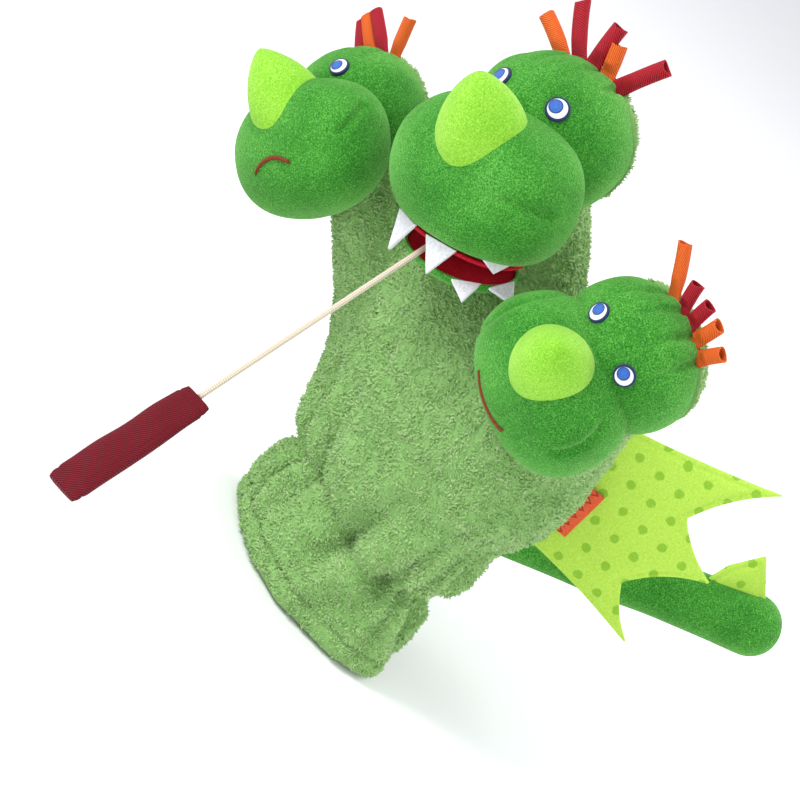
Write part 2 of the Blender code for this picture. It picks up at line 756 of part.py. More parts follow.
def make_tail():
    turn, rise = TAIL_TURN, TAIL_RISE
    direction = Vector((
        math.cos(rise) * math.sin(turn), math.cos(rise) * math.cos(turn), math.sin(rise)
    ))
    behind = back_surface(TAIL_PIVOT.x, TAIL_PIVOT.z) + TAIL_ROOT_RADIUS + JOINT_GAP
    pivot = Vector((TAIL_PIVOT.x, behind, TAIL_PIVOT.z))
    hinge = axis_empty("tail_axis", pivot)
    profile = capsule_profile(TAIL_ROOT_RADIUS, TAIL_END_RADIUS, TAIL_LENGTH)
    frame = along((0, 0, 0), direction)
    add("tail", turned(profile, 20), "velour", parent=hinge, matrix=frame)
    grown = capsule_profile(TAIL_ROOT_RADIUS + SEAM_GAP, TAIL_END_RADIUS + SEAM_GAP, TAIL_LENGTH)
    room = helper(add("tail_room", turned(grown, 20), "plush", parent=hinge, matrix=frame))
    up = frame.to_3x3().inverted() @ Vector((0, 0, 1))
    spin = math.atan2(up.y, up.x)
    start = TAIL_LENGTH - FIN_LENGTH * FIN_START_SHARE
    top = TAIL_END_RADIUS
    tip = (top + FIN_HEIGHT, start + FIN_LENGTH * FIN_TIP_SHARE)
    outline = ((FIN_SUNK * top, start), tip, (FIN_SUNK * top, start + FIN_LENGTH))
    fin = plate(outline, FIN_THICKNESS)
    piece = add("tail_fin", fin, "lime", parent=hinge, matrix=frame @ Matrix.Rotation(spin, 4, "Z"))
    cut(piece, room)


def make_wings():
    for side, name in ((-1, "left_wing"), (1, "right_wing")):
        x = side * WING_ROOT
        middle = (WING_OUTLINE[0][1] + WING_OUTLINE[-1][1]) / 2
        root = Vector((x, back_surface(x, middle) + WING_STANDOFF, 0))
        hinge = axis_empty(name + "_axis", root + Vector((0, 0, middle)))
        sheet = plate([(w, z - middle) for w, z in WING_OUTLINE], WING_THICKNESS)
        turn = Matrix.Rotation(WING_SWEEP, 4, "Z")
        if side < 0:
            turn = Matrix.Rotation(math.pi - WING_SWEEP, 4, "Z")
        add(name, sheet, "lime", parent=hinge, matrix=turn)
        if side > 0:
            across, level = LABEL_PLACE
            half_w, half_h = LABEL_SIZE[0] / 2, LABEL_SIZE[1] / 2
            out = WING_THICKNESS / 2 + SEAM_GAP + LABEL_THICKNESS
            tag = block(
                (across - half_w, -out, level - middle - half_h),
                (across + half_w, -out + LABEL_THICKNESS, level - middle + half_h),
            )
            add("side_label", tag, "label", parent=hinge, matrix=turn)


def main():
    clear_scene()
    necks = neck_layout()
    rooms = []
    for name, neck in necks.items():
        make_neck(name, neck)
        rooms.append(socket_cutter(
            name + "_neck_room", BASE_RADIUS, TOP_RADIUS,
            neck["knuckle"], neck["direction"], neck["length"],
        ))
    make_body(rooms)
    for name, neck in necks.items():
        head = Head(name, neck)
        make_skull(head)
        muzzle = make_muzzle(head)
        make_horn(head)
        make_eyes(head)
        make_hair(head)
        if name == "middle":
            palate = make_mouth(head, muzzle)
            make_jaw(head)
            make_cord(muzzle, palate)
        else:
            make_stitched_mouth(head)
    make_tail()
    make_wings()


main()
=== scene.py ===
import json
import math

import bpy
import numpy as np
from mathutils import Matrix, Vector


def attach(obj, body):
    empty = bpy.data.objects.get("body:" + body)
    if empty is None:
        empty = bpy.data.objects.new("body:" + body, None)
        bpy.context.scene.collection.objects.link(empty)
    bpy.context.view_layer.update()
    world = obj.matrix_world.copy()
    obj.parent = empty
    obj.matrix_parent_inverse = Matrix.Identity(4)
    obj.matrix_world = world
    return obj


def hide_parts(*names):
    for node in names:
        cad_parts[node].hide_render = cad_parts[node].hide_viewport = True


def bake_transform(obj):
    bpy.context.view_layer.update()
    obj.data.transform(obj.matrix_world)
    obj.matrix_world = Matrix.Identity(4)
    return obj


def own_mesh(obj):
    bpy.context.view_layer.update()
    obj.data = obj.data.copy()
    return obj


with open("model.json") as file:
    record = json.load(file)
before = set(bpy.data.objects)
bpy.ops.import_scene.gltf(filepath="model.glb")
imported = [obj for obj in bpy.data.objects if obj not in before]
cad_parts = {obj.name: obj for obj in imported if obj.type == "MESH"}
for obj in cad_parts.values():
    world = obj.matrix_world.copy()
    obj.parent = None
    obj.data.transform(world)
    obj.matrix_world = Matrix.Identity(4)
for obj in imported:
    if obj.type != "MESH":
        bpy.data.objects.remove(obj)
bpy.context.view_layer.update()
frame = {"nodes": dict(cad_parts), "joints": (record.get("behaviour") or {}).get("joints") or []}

# Looks of the three-headed dragon glove puppet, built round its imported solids.
# Metres, +Z up. Heads are modelled at size 1 about the middle of the skull, then put on their necks.

joints = {joint["name"]: joint for joint in frame["joints"]}
random = np.random.default_rng(7)  # seeded, so that every run sows the same curls


# Camera, before anything else

camera = {
    "azimuth": 38, "elevation": 20, "roll": 44,
    "distance": 1.1, "lens": 123.75, "sensor": 36, "aim": (-0.0342, 0.0074, 0.0738),
}


def makeCamera():
    azimuth, elevation, roll = (math.radians(camera[k]) for k in ("azimuth", "elevation", "roll"))
    back = Vector((
        math.sin(azimuth) * math.cos(elevation), -math.cos(azimuth) * math.cos(elevation), math.sin(elevation)
    ))
    level = Vector((math.cos(azimuth), math.sin(azimuth), 0))
    steep = back.cross(level)
    right = level * math.cos(roll) + steep * math.sin(roll)
    up = steep * math.cos(roll) - level * math.sin(roll)
    data = bpy.data.cameras.new("studioCamera")
    data.lens = camera["lens"]
    data.sensor_width = camera["sensor"]
    data.clip_start = 0.05
    obj = bpy.data.objects.new("studioCamera", data)
    bpy.context.scene.collection.objects.link(obj)
    turn = Matrix((right, up, back)).transposed().to_4x4()
    obj.matrix_world = Matrix.Translation(Vector(camera["aim"]) + back * camera["distance"]) @ turn
    bpy.context.scene.camera = obj


makeCamera()
print("camera placed")


# Shader maths: a value wraps a socket, so that a pattern reads as an expression

class Value:
    def __init__(self, paint, socket):
        self.paint = paint
        self.socket = socket

    def maths(self, operation, *inputs):
        return self.paint.node("Math", {"operation": operation}, dict(enumerate(inputs)))

    def __add__(self, other):
        return self.maths("ADD", self, other)

    def __sub__(self, other):
        return self.maths("SUBTRACT", self, other)

    def __rsub__(self, other):
        return self.maths("SUBTRACT", other, self)

    def __mul__(self, other):
        return self.maths("MULTIPLY", self, other)

    def __truediv__(self, other):
        return self.maths("DIVIDE", self, other)

    __radd__ = __add__
    __rmul__ = __mul__

    def root(self):
        return self.maths("SQRT", self)

    def floor(self):
        return self.maths("FLOOR", self)

    def size(self):
        return self.maths("ABSOLUTE", self)

    def wave(self):
        return self.maths("SINE", self)

    def soft(self, low, high):
        # a smooth step from 0 at low to 1 at high
        inputs = {"Value": self, "From Min": low, "From Max": high}
        return self.paint.node("MapRange", {"interpolation_type": "SMOOTHSTEP"}, inputs)


class Paint:
    def __init__(self, name):
        self.material = bpy.data.materials.new(name)
        self.material.use_nodes = True
        self.tree = self.material.node_tree
        self.shader = self.tree.nodes["Principled BSDF"]

    def node(self, kind, settings=None, inputs=None, output=0):
        made = self.tree.nodes.new("ShaderNode" + kind)
        for key, setting in (settings or {}).items():
            if key == "stops":
                while len(made.color_ramp.elements) < len(setting):
                    made.color_ramp.elements.new(0.5)
                for element, (place, colour) in zip(made.color_ramp.elements, setting):
                    element.position = place
                    element.color = (*colour, 1)
            else:
                setattr(made, key, setting)
        for key, given in (inputs or {}).items():
            if isinstance(given, Value):
                self.tree.links.new(given.socket, made.inputs[key])
            else:
                made.inputs[key].default_value = given
        return Value(self, made.outputs[output])

    def place(self):
        return self.node("TexCoord", output=3)

    def chart(self, name):
        return self.node("UVMap", {"uv_map": name})

    def attribute(self, name):
        return self.node("Attribute", {"attribute_name": name}, output=2)

    def parts(self, vector):
        return tuple(self.node("SeparateXYZ", None, {0: vector}, output=i) for i in range(3))

    def noise(self, vector, scale, detail=2.0, rough=0.5):
        inputs = {"Vector": vector, "Scale": scale, "Detail": detail, "Roughness": rough}
        return self.node("TexNoise", None, inputs)

    def ramp(self, value, stops):
        return self.node("ValToRGB", {"stops": stops}, {0: value})

    def mix(self, share, first, second):
        return self.node("Mix", {"data_type": "RGBA"}, {0: share, 6: first, 7: second}, output=2)

    def finish(self, colour, rough, height=None, depth=0.0, **fixed):
        inputs = self.shader.inputs
        for key, given in (("Base Color", colour), ("Roughness", rough)):
            if isinstance(given, Value):
                self.tree.links.new(given.socket, inputs[key])
            else:
                inputs[key].default_value = given
        if height:
            bump = self.node("Bump", None, {"Distance": depth, "Height": height, "Strength": 1.0})
            self.tree.links.new(bump.socket, inputs["Normal"])
        inputs["Specular IOR Level"].default_value = 0.2
        for key, given in fixed.items():
            inputs[key.replace("_", " ")].default_value = given
        return self.material


def shade(red, green, blue):
    # a screen colour, 0 to 255, as the linear colour that shaders take
    return tuple(
        part / 255 / 12.92 if part <= 10 else ((part / 255 + 0.055) / 1.055) ** 2.4
        for part in (red, green, blue)
    )


def flat(red, green, blue):
    return (*shade(red, green, blue), 1)


def velourPaint(name, deep, middle, pale, sheen):
    paint = Paint(name)
    place = paint.place()
    pile = paint.noise(place, 1700, 3, 0.7)
    tufts = paint.noise(place, 620, 2, 0.6)
    brushed = paint.noise(place, 45, 2)
    grain = (pile - 0.5) * 1.7 + (tufts - 0.5) * 0.25 + (brushed - 0.5) * 0.45 + 0.48
    colour = paint.ramp(grain, [(0.15, shade(*deep)), (0.5, shade(*middle)), (0.9, shade(*pale))])
    return paint.finish(
        colour, 0.9, pile + tufts * 0.3, 0.0005,
        Sheen_Weight=0.9, Sheen_Roughness=0.3, Sheen_Tint=flat(*sheen),
    )


def fleecePaint(name, deep, middle, pale):
    # fluffTip runs from 0 at a curl's root to 1 at its tip, and fluffTone differs from curl to curl. The
    # colour pales from root to tip: painted shade darkens the roots down among the curls, on top of random
    # tone from each curl, the patches and the clumps
    paint = Paint(name)
    place = paint.place()
    patches = paint.noise(place, 70, 2)
    tip = paint.attribute("fluffTip")
    tone = paint.attribute("fluffTone")
    clumps = paint.noise(place, 330, 3, 0.6)
    # tip * 0.26 is painted shade, dark at the roots and pale at the tips; the other terms are random tone
    grain = tip * 0.26 + tone * 0.14 + (patches - 0.5) * 0.3 + (clumps - 0.5) * 0.4 + 0.28
    colour = paint.ramp(grain, [(0.0, shade(*deep)), (0.45, shade(*middle)), (0.9, shade(*pale))])
    return paint.finish(
        colour, 0.95, paint.noise(place, 1500, 2), 0.0004,
        Sheen_Weight=0.35, Sheen_Roughness=0.5, Sheen_Tint=flat(*pale),
    )


def feltPaint(name, deep, pale):
    paint = Paint(name)
    place = paint.place()
    fibres = paint.noise(place, 900, 5, 0.75)
    colour = paint.ramp(fibres, [(0.3, shade(*deep)), (0.7, shade(*pale))])
    return paint.finish(colour, 0.95, fibres, 0.0003, Sheen_Weight=0.3, Sheen_Tint=flat(*pale))


def twillPaint(name, deep, pale, pitch, light=0.25):
    # diagonal ribs on the ribbon's own chart, whose unit is a millimetre
    paint = Paint(name)
    across, along, _ = paint.parts(paint.chart("ribbon"))
    rib = ((across + along) * (math.tau / pitch)).wave() * 0.5 + 0.5
    threads = paint.noise(paint.place(), 2500, 2)
    grain = rib * 0.6 + threads * 0.5 - 0.05
    colour = paint.ramp(grain, [(0.2, shade(*deep)), (0.85, shade(*pale))])
    return paint.finish(
        colour, 0.75 - 0.2 * rib, rib + threads * 0.3, 0.00016,
        Sheen_Weight=light, Sheen_Tint=flat(*pale),
    )


def dottedPaint(name):
    # printed dots in staggered rows over fine lime cloth, by the sheet's own chart in millimetres
    paint = Paint(name)
    chart = paint.chart("print")
    across, along, _ = paint.parts(chart)
    pitch, radius, blur = 10.5, 1.9, 0.25
    row = (along / pitch).floor()
    shifted = across / pitch + row * 0.5
    x = (shifted - shifted.floor() - 0.5) * pitch
    y = (along / pitch - row - 0.5) * pitch
    wobble = (paint.noise(chart, 0.35, 1) - 0.5) * 1.2
    dot = 1 - ((x * x + y * y).root() + wobble).soft(radius - blur, radius + blur)
    place = paint.place()
    pile = paint.noise(place, 1600, 3, 0.7)
    ground = paint.ramp(pile, [
        (0.25, shade(152, 196, 56)), (0.55, shade(178, 216, 82)), (0.8, shade(198, 228, 118))
    ])
    printed = paint.ramp(pile, [(0.25, shade(122, 172, 40)), (0.75, shade(148, 194, 62))])
    colour = paint.mix(dot, ground, printed)
    return paint.finish(
        colour, 0.9, pile - dot * 0.4, 0.0003, Sheen_Weight=0.3, Sheen_Tint=flat(220, 240, 150)
    )


def eyePaint(name):
    # satin stitch: a navy edge, a white crescent and a blue disc towards the nose and the brow
    paint = Paint(name)
    across, along, _ = paint.parts(paint.chart("eye"))
    edge = (across * across + along * along).root()
    inX, inY = across + 0.20, along - 0.08
    disc = (inX * inX + inY * inY).root()
    stitches = paint.noise(paint.place(), 2600, 2)
    blue = paint.ramp(stitches + (1 - disc) * 0.3, [(0.3, shade(18, 46, 136)), (0.8, shade(56, 104, 186))])
    white = paint.ramp(stitches, [(0.3, shade(205, 208, 225)), (0.7, shade(245, 246, 252))])
    navy = paint.ramp(stitches, [(0.3, shade(14, 26, 62)), (0.7, shade(34, 52, 98))])
    inner = paint.mix(disc.soft(0.56, 0.60), blue, white)
    ring = disc.soft(0.48, 0.52) * (1 - disc.soft(0.57, 0.60))
    inner = paint.mix(ring * 0.8, inner, navy)
    colour = paint.mix(edge.soft(0.78, 0.82), inner, navy)
    return paint.finish(colour, 0.5, stitches, 0.0002, Sheen_Weight=0.15)


def cordPaint(name):
    paint = Paint(name)
    around, along, _ = paint.parts(paint.chart("braid"))
    strands, pitch = 8, 2  # strands round the cord, and millimetres for each turn of the plait
    one = (around * strands + along) * (math.tau / pitch)
    two = (around * strands - along) * (math.tau / pitch)
    weave = one.wave() * two.wave() * 0.5 + 0.5
    colour = paint.ramp(weave, [(0.1, shade(176, 160, 140)), (0.8, shade(226, 214, 196))])
    return paint.finish(colour, 0.8, weave, 0.00015, Sheen_Weight=0.2)


def labelPaint(name):
    # a woven label with a plain zigzag
    paint = Paint(name)
    across, along, _ = paint.parts(paint.chart("ribbon"))
    pitch, slope, shift = 4.2, 7.0, 1.8
    folded = along / pitch - (along / pitch).floor() - 0.5
    line = folded.size() * slope + across - shift
    band = 1 - line.size().soft(0.45, 0.75)
    threads = paint.noise(paint.place(), 2600, 3)
    ground = paint.ramp(threads, [(0.3, shade(196, 70, 38)), (0.7, shade(228, 98, 56))])
    colour = paint.mix(band * 0.85, ground, flat(140, 34, 26))
    return paint.finish(colour, 0.75, threads, 0.0002, Sheen_Weight=0.2)


def threadPaint(name, deep, pale):
    # twisted thread, such as satin stitches and elastic
    paint = Paint(name)
    twist = paint.noise(paint.place(), 2400, 2)
    colour = paint.ramp(twist, [(0.3, shade(*deep)), (0.7, shade(*pale))])
    return paint.finish(colour, 0.6, twist, 0.0002, Sheen_Weight=0.1)


paints = {
    "plush": fleecePaint("sageFleece", (92, 138, 72), (140, 182, 108), (196, 220, 166)),
    "velour": velourPaint("greenVelour", (26, 88, 20), (54, 136, 40), (114, 188, 82), (160, 216, 128)),
    "lime": velourPaint("limeVelour", (100, 172, 34), (138, 202, 54), (176, 222, 98), (200, 236, 140)),
    "dotted": dottedPaint("dottedLime"),
    "eye": eyePaint("stitchedEye"),
    "orange": twillPaint("orangeRibbon", (176, 60, 16), (236, 116, 44), 0.9),
    "red": twillPaint("redRibbon", (112, 8, 24), (190, 34, 48), 0.9),
    "lining": feltPaint("redFelt", (150, 8, 26), (200, 24, 44)),
    "felt": feltPaint("whiteFelt", (196, 196, 202), (234, 234, 238)),
    "cord": cordPaint("creamCord"),
    "tongue": twillPaint("crimsonTwill", (72, 4, 16), (124, 14, 32), 1.1, 0.1),
    "label": labelPaint("wovenLabel"),
    "stitch": threadPaint("brownThread", (92, 34, 12), (140, 62, 24)),
    "elastic": threadPaint("whiteElastic", (196, 196, 190), (232, 232, 226)),
    "greenThread": threadPaint("greenThread", (58, 124, 30), (96, 164, 50)),
}
print("materials made")


# Modelling helpers

def deselectAll():
    if bpy.context.object and bpy.context.object.mode != "OBJECT":
        bpy.ops.object.mode_set(mode="OBJECT")
    bpy.ops.object.select_all(action="DESELECT")


def choose(obj):
    deselectAll()
    obj.select_set(True)
    bpy.context.view_layer.objects.active = obj


def readPoints(obj):
    found = np.empty(len(obj.data.vertices) * 3, np.float32)
    obj.data.vertices.foreach_get("co", found)
    return found.reshape(-1, 3).astype(float)


def writePoints(obj, points):
    obj.data.vertices.foreach_set("co", np.asarray(points, np.float32).ravel())
    obj.data.update()


def readNormals(obj):
    found = np.empty(len(obj.data.vertices) * 3, np.float32)
    obj.data.vertices.foreach_get("normal", found)
    return found.reshape(-1, 3).astype(float)


def editAll(obj, *steps):
    choose(obj)
    bpy.ops.object.mode_set(mode="EDIT")
    bpy.ops.mesh.select_all(action="SELECT")
    for step in steps:
        step()
    bpy.ops.object.mode_set(mode="OBJECT")


def mergeSeams():
    bpy.ops.mesh.remove_doubles(threshold=1e-6)


def faceOut():
    bpy.ops.mesh.normals_make_consistent(inside=False)


def modify(obj, kind, **settings):
    choose(obj)
    step = obj.modifiers.new("step", kind)
    for key, setting in settings.items():
        setattr(step, key, setting)
    bpy.ops.object.modifier_apply(modifier=step.name)


def smoothed(obj):
    obj.data.shade_smooth()
    return obj


def rolledForm(name, around, rows, shape):
    # a flat grid rolled up: shape takes the angle round the form and the share along it
    deselectAll()
    bpy.ops.mesh.primitive_grid_add(x_subdivisions=around, y_subdivisions=rows, size=1)
    obj = bpy.context.object
    obj.name = obj.data.name = name
    grid = readPoints(obj)
    writePoints(obj, shape((grid[:, 0] + 0.5) * math.tau, grid[:, 1] + 0.5))
    editAll(obj, mergeSeams, faceOut)
    return smoothed(obj)


def chartOf(obj, name, points):
    # writes a chart from one (across, along) pair for each vertex
    layer = obj.data.uv_layers.new(name=name)
    corners = np.empty(len(obj.data.loops), np.int32)
    obj.data.loops.foreach_get("vertex_index", corners)
    layer.data.foreach_set("uv", np.asarray(points, np.float32)[corners].ravel())


def capsule(share, ends):
    # the angles round two end caps, and the share along the straight between them
    lower = np.clip(1 - share / ends, 0, 1) * math.pi / 2
    upper = np.clip((share - 1 + ends) / ends, 0, 1) * math.pi / 2
    return lower, np.clip((share - ends) / (1 - 2 * ends), 0, 1), upper


def distanceTo(points, path):
    # how far each point is from the nearest stretch of a path
    nearest = np.full(len(points), 1e9)
    for start, end in zip(path, path[1:]):
        start, line = np.array(start, float), np.array(end, float) - np.array(start, float)
        share = np.clip(((points - start) @ line) / (line @ line), 0, 1)
        nearest = np.minimum(nearest, np.linalg.norm(points - start - share[:, None] * line, axis=1))
    return nearest


def groove(obj, path, width, depth):
    # presses a seam or a pleat into a stuffed form along a path
    points = readPoints(obj)
    press = depth * np.exp(-(distanceTo(points, path) / width) ** 2)
    writePoints(obj, points - readNormals(obj) * press[:, None])


def hills(points, scale, seed):
    # a smooth uneven swell, about -1 to 1, from a few waves at odd angles
    waves = np.random.default_rng(seed)
    count = 9
    total = np.zeros(len(points))
    for _ in range(count):
        direction = waves.normal(size=3)
        direction /= np.linalg.norm(direction)
        total += np.sin(points @ direction * scale * waves.uniform(0.6, 1.6) + waves.uniform(0, math.tau))
    return total / (count / 2)


def swell(obj, scale, depth, seed):
    points = readPoints(obj)
    writePoints(obj, points + readNormals(obj) * (hills(points, scale, seed) * depth)[:, None])


def dress(obj, paint):
    obj.data.materials.clear()
    obj.data.materials.append(paints[paint])
    return obj


def lookAlong(start, direction):
    # a place whose Z axis runs along the direction
    turn = Vector(direction).to_track_quat("Z", "Y").to_matrix().to_4x4()
    return Matrix.Translation(start) @ turn


# Pull cord: straight out of the throat to the tongue, held taut by the puppeteer's other hand

cordRoute = (
    Vector((-0.0267, -0.0502, 0.1571)),
    Vector((-0.0124, -0.0802, 0.1303)),
    Vector((0.0021, -0.1105, 0.1034)),
    Vector((0.0166, -0.1407, 0.0765)),
)
pullCord = {"points": 27, "radius": 0.0011, "sides": 16, "rows": 50, "pull": 0.084}


def cordPath():
    # a smooth curve through the route's points
    first, last = cordRoute[0], cordRoute[-1]
    spans = len(cordRoute) - 1
    points = []
    for i in range(pullCord["points"]):
        share = i / (pullCord["points"] - 1) * spans
        span = min(int(share), spans - 1)
        low, high = cordRoute[span], cordRoute[span + 1]
        before = cordRoute[span - 1] if span else first
        after = cordRoute[span + 2] if span + 2 <= spans else last
        t = share - span
        points.append((
            2 * low + (high - before) * t
            + (2 * before - 5 * low + 4 * high - after) * t ** 2
            + (3 * low - before - 3 * high + after) * t ** 3
        ) / 2)
    return points


def makeCord():
    path = cordPath()
    line = (path[-1] - path[0]).normalized()
    length = sum((b - a).length for a, b in zip(path, path[1:]))
    across = lookAlong((0, 0, 0), line)
    side, over = across.col[0].xyz, across.col[1].xyz
    radius, last, cap = pullCord["radius"], pullCord["points"] - 1, 0.02

    def shape(angle, share):
        # the first and last rows close the ends
        capped = np.clip((share - cap) / (1 - 2 * cap), 0, 1)
        spot = np.array([path[int(round(s * last))] for s in capped])
        grow = np.where((share < cap / 2) | (share > 1 - cap / 2), 0.0, radius)
        return spot + (np.outer(np.cos(angle), side) + np.outer(np.sin(angle), over)) * grow[:, None]

    cord = rolledForm("pullCord", pullCord["sides"], pullCord["rows"], shape)
    away = readPoints(cord) - np.array(path[0])
    along = away @ np.array(line)
    around = np.arctan2(away @ np.array(over), away @ np.array(side))
    chartOf(cord, "braid", np.stack([around / math.tau, along * 1000], axis=1))
    dress(cord, "cord")
    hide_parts("pull_cord")
    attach(cord, "middle_head")
    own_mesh(cord)
    return path, line


def repaint(node, paint):
    # a solid that already has its right shape gets a better finish
    materials = frame["nodes"][node].data.materials
    materials.clear()
    materials.append(paints[paint])


cordLine, cordDirection = makeCord()
repaint("cord_knot", "cord")
print("cord laid")


# Fleece: the glove and its three necks are one soft form, cut apart where each neck begins

glove = {
    "cuff": (0.100, 0.060), "waist": (0.098, 0.056), "shoulder": (0.156, 0.074),
    "waistHeight": 0.038, "shoulderHeight": 0.095, "height": 0.152, "shift": -0.010,
    "innerTop": 0.125, "outerTop": 0.1455, "wall": 0.0045, "hemWall": 0.0062, "hemHeight": 0.009,
    "baseRadius": 0.0225, "topRadius": 0.0165, "neckReach": 0.031, "voxel": 0.0013,
}
necks = {
    "left": {"to": (-43.2, -28.8, 40.4), "length": 0.0658, "start": 0.006},
    "middle": {"to": (-23.5, -28.3, 55.4), "length": 0.0665, "start": 0.010},
    "right": {"to": (12.0, -20.8, 55.0), "length": 0.0600, "start": 0.008},
}
for side, neck in necks.items():
    neck["knuckle"] = Vector(joints[side + "_neck_sway"]["pos_m"])
    neck["direction"] = Vector(neck["to"]).normalized()


def gloveSize(height):
    # shift, half width and half depth of the glove at each height
    cuff, waist, shoulder = glove["cuff"], glove["waist"], glove["shoulder"]
    low, high = glove["waistHeight"], glove["shoulderHeight"]
    middle = tuple((a + b) / 2 for a, b in zip(waist, shoulder))
    flare = 1.025  # the cuff is widest a little above its hem
    levels = (
        (0.0, 0.0, *cuff), (0.3 * low, 0.0, cuff[0] * flare, cuff[1] * flare), (low, 0.0, *waist),
        ((low + high) / 2, glove["shift"] / 2, *middle), (high, glove["shift"], *shoulder),
    )
    found = np.zeros((len(height), 3))
    for a, b in zip(levels, levels[1:]):
        part = np.clip((height - a[0]) / (b[0] - a[0]), 0, 1)
        part = (part * part * (3 - 2 * part))[:, None]
        here = (height >= a[0])[:, None]
        found = np.where(here, np.array(a[1:]) + (np.array(b[1:]) - np.array(a[1:])) * part, found)
    rise = np.clip((height - high) / (glove["height"] - high), 0, 0.995)
    fall = np.sqrt(1 - rise ** 2.4)
    above = height > high
    found[:, 1] = np.where(above, shoulder[0] * fall, found[:, 1])
    found[:, 2] = np.where(above, shoulder[1] * fall ** 0.6, found[:, 2])
    found[:, 1:] /= 2
    return found


def gloveWall(angle, share):
    # from the middle of the inside's top, down the inside, round the hem and up the outside to the crown
    ceiling, top, hem = glove["innerTop"], glove["outerTop"], glove["hemWall"] / 2
    hemStart, hemEnd = 0.36, 0.42
    stops = (0.0, 0.04, hemStart, hemEnd, 0.93, 1.0)
    height = np.interp(share, stops, (ceiling, ceiling, hem, hem, top, top + 0.003))
    inset = np.interp(share, stops, (glove["wall"], glove["wall"], glove["hemWall"], 0.0, 0.0, 0.0))
    fill = np.interp(share, stops, (0.0, 1.0, 1.0, 1.0, 1.0, 0.0))
    roundHem = (share > hemStart) & (share < hemEnd)
    turn = (share - hemStart) / (hemEnd - hemStart) * math.pi
    inset = np.where(roundHem, hem + hem * np.cos(turn), inset)
    height = np.where(roundHem, hem - hem * np.sin(turn), height)
    size = gloveSize(height)
    x = size[:, 0] + (size[:, 1] - inset) * fill * np.cos(angle)
    y = (size[:, 2] - inset) * fill * np.sin(angle)
    return np.stack([x, y, height], axis=1)


def neckForm(side):
    # a sleeve round one finger, with round ends inside the glove and inside the head
    neck = necks[side]
    low, high, length = glove["baseRadius"], glove["topRadius"], neck["length"]
    place = np.array(lookAlong(neck["knuckle"], neck["direction"]))

    def shape(angle, share):
        polar, straight, upper = capsule(share, 0.3)
        radius = (low + (high - low) * straight) * np.cos(polar) * np.cos(upper)
        height = length * straight - low * np.sin(polar) + high * np.sin(upper)
        local = np.stack([
            radius * np.cos(angle), radius * np.sin(angle), height, np.ones(len(angle))
        ], axis=1)
        return (local @ place.T)[:, :3]

    return rolledForm(side + "NeckForm", 48, 48, shape)


folds = {
    "count": 13, "depth": 0.0046, "reach": 0.026, "rise": 0.042, "channel": 0.0056, "channelWidth": 0.0048,
    "wander": 0.0025, "hemSwing": 0.0016,
}


def waistLevel(angle):
    # the elastic's line wanders up and down round the wrist
    return glove["waistHeight"] + folds["wander"] * np.sin(angle * 3 + 1.0)


def gatherWaist(obj):
    # the elastic's channel, and the folds that run out of it up and down
    points = readPoints(obj)
    height = points[:, 2]
    angle = np.arctan2(points[:, 1] / (glove["waist"][1] / 2), points[:, 0] / (glove["waist"][0] / 2))
    outward = np.stack([np.cos(angle), np.sin(angle), np.zeros(len(angle))], axis=1)
    level = waistLevel(angle)
    drop = (height - level) / np.where(height > level, folds["rise"], folds["reach"])
    uneven = (
        0.8 * np.sin(angle * 3 + 0.7) + 0.5 * np.sin(angle * 7 + 2.1) + 1.3 * drop * np.sin(angle * 2 + 0.5)
    )
    wave = np.cos(folds["count"] * angle + 2.2 * uneven) + 0.45 * np.cos(9 * angle + 1.4 + 2 * drop)
    strength = folds["depth"] * np.exp(-drop ** 2) * (0.75 + 0.25 * np.sin(5 * angle))
    channel = folds["channel"] * np.exp(-((height - level) / folds["channelWidth"]) ** 2)
    swing = folds["hemSwing"] * np.sin(4 * angle + 0.6) * np.exp(-((height - 0.004) / 0.018) ** 2)
    moved = strength * (wave - 0.3) - channel + swing
    moved[height > 0.1] = 0
    writePoints(obj, points + outward * moved[:, None])


band = {"inset": 0.0062, "thick": 0.0010, "width": 0.006}


def makeElastic():
    # a flat band sewn to the inside of the waist, gathered with it
    def shape(angle, share):
        turn = share * math.tau
        size = gloveSize(np.full(len(angle), glove["waistHeight"]))
        inset = band["inset"] + band["thick"] / 2 * np.cos(turn)
        height = waistLevel(angle) + band["width"] / 2 * np.sin(turn)
        return np.stack([
            (size[:, 1] - inset) * np.cos(angle), (size[:, 2] - inset) * np.sin(angle), height
        ], axis=1)

    elastic = rolledForm("wristElastic", 200, 12, shape)
    gatherWaist(elastic)
    dress(elastic, "elastic")
    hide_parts("wrist_elastic")
    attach(elastic, "glove")


creases = {
    # each a path, then its width and depth
    "front": (
        (((-0.060, -0.030, 0.082), (-0.030, -0.040, 0.096), (0.004, -0.040, 0.094)), 0.0045, 0.0026),
        (((-0.020, -0.040, 0.070), (0.012, -0.038, 0.078), (0.040, -0.030, 0.090)), 0.0045, 0.0022),
        (((-0.052, -0.026, 0.062), (-0.030, -0.034, 0.066), (-0.008, -0.036, 0.062)), 0.0040, 0.0016),
        (((0.030, -0.032, 0.060), (0.046, -0.022, 0.072), (0.056, -0.010, 0.082)), 0.0040, 0.0018),
    ),
    "betweenNecks": (
        (((-0.034, -0.020, 0.126), (-0.026, -0.026, 0.112), (-0.022, -0.034, 0.100)), 0.0050, 0.0028),
        (((0.014, -0.022, 0.130), (0.014, -0.030, 0.116), (0.010, -0.036, 0.104)), 0.0050, 0.0028),
    ),
    "back": (
        (((-0.040, 0.030, 0.070), (0.000, 0.036, 0.076), (0.040, 0.030, 0.070)), 0.0060, 0.0018),
    ),
    "hollow": {"middle": (0.062, 0.014, 0.080), "radius": 0.030, "push": (-0.0085 * 0.85, -0.0085 * 0.5, 0)},
}


def readMarks(obj):
    # which points are on the fleece that shows
    marks = np.empty(len(obj.data.vertices), np.float32)
    obj.data.attributes["outside"].data.foreach_get("value", marks)
    return marks


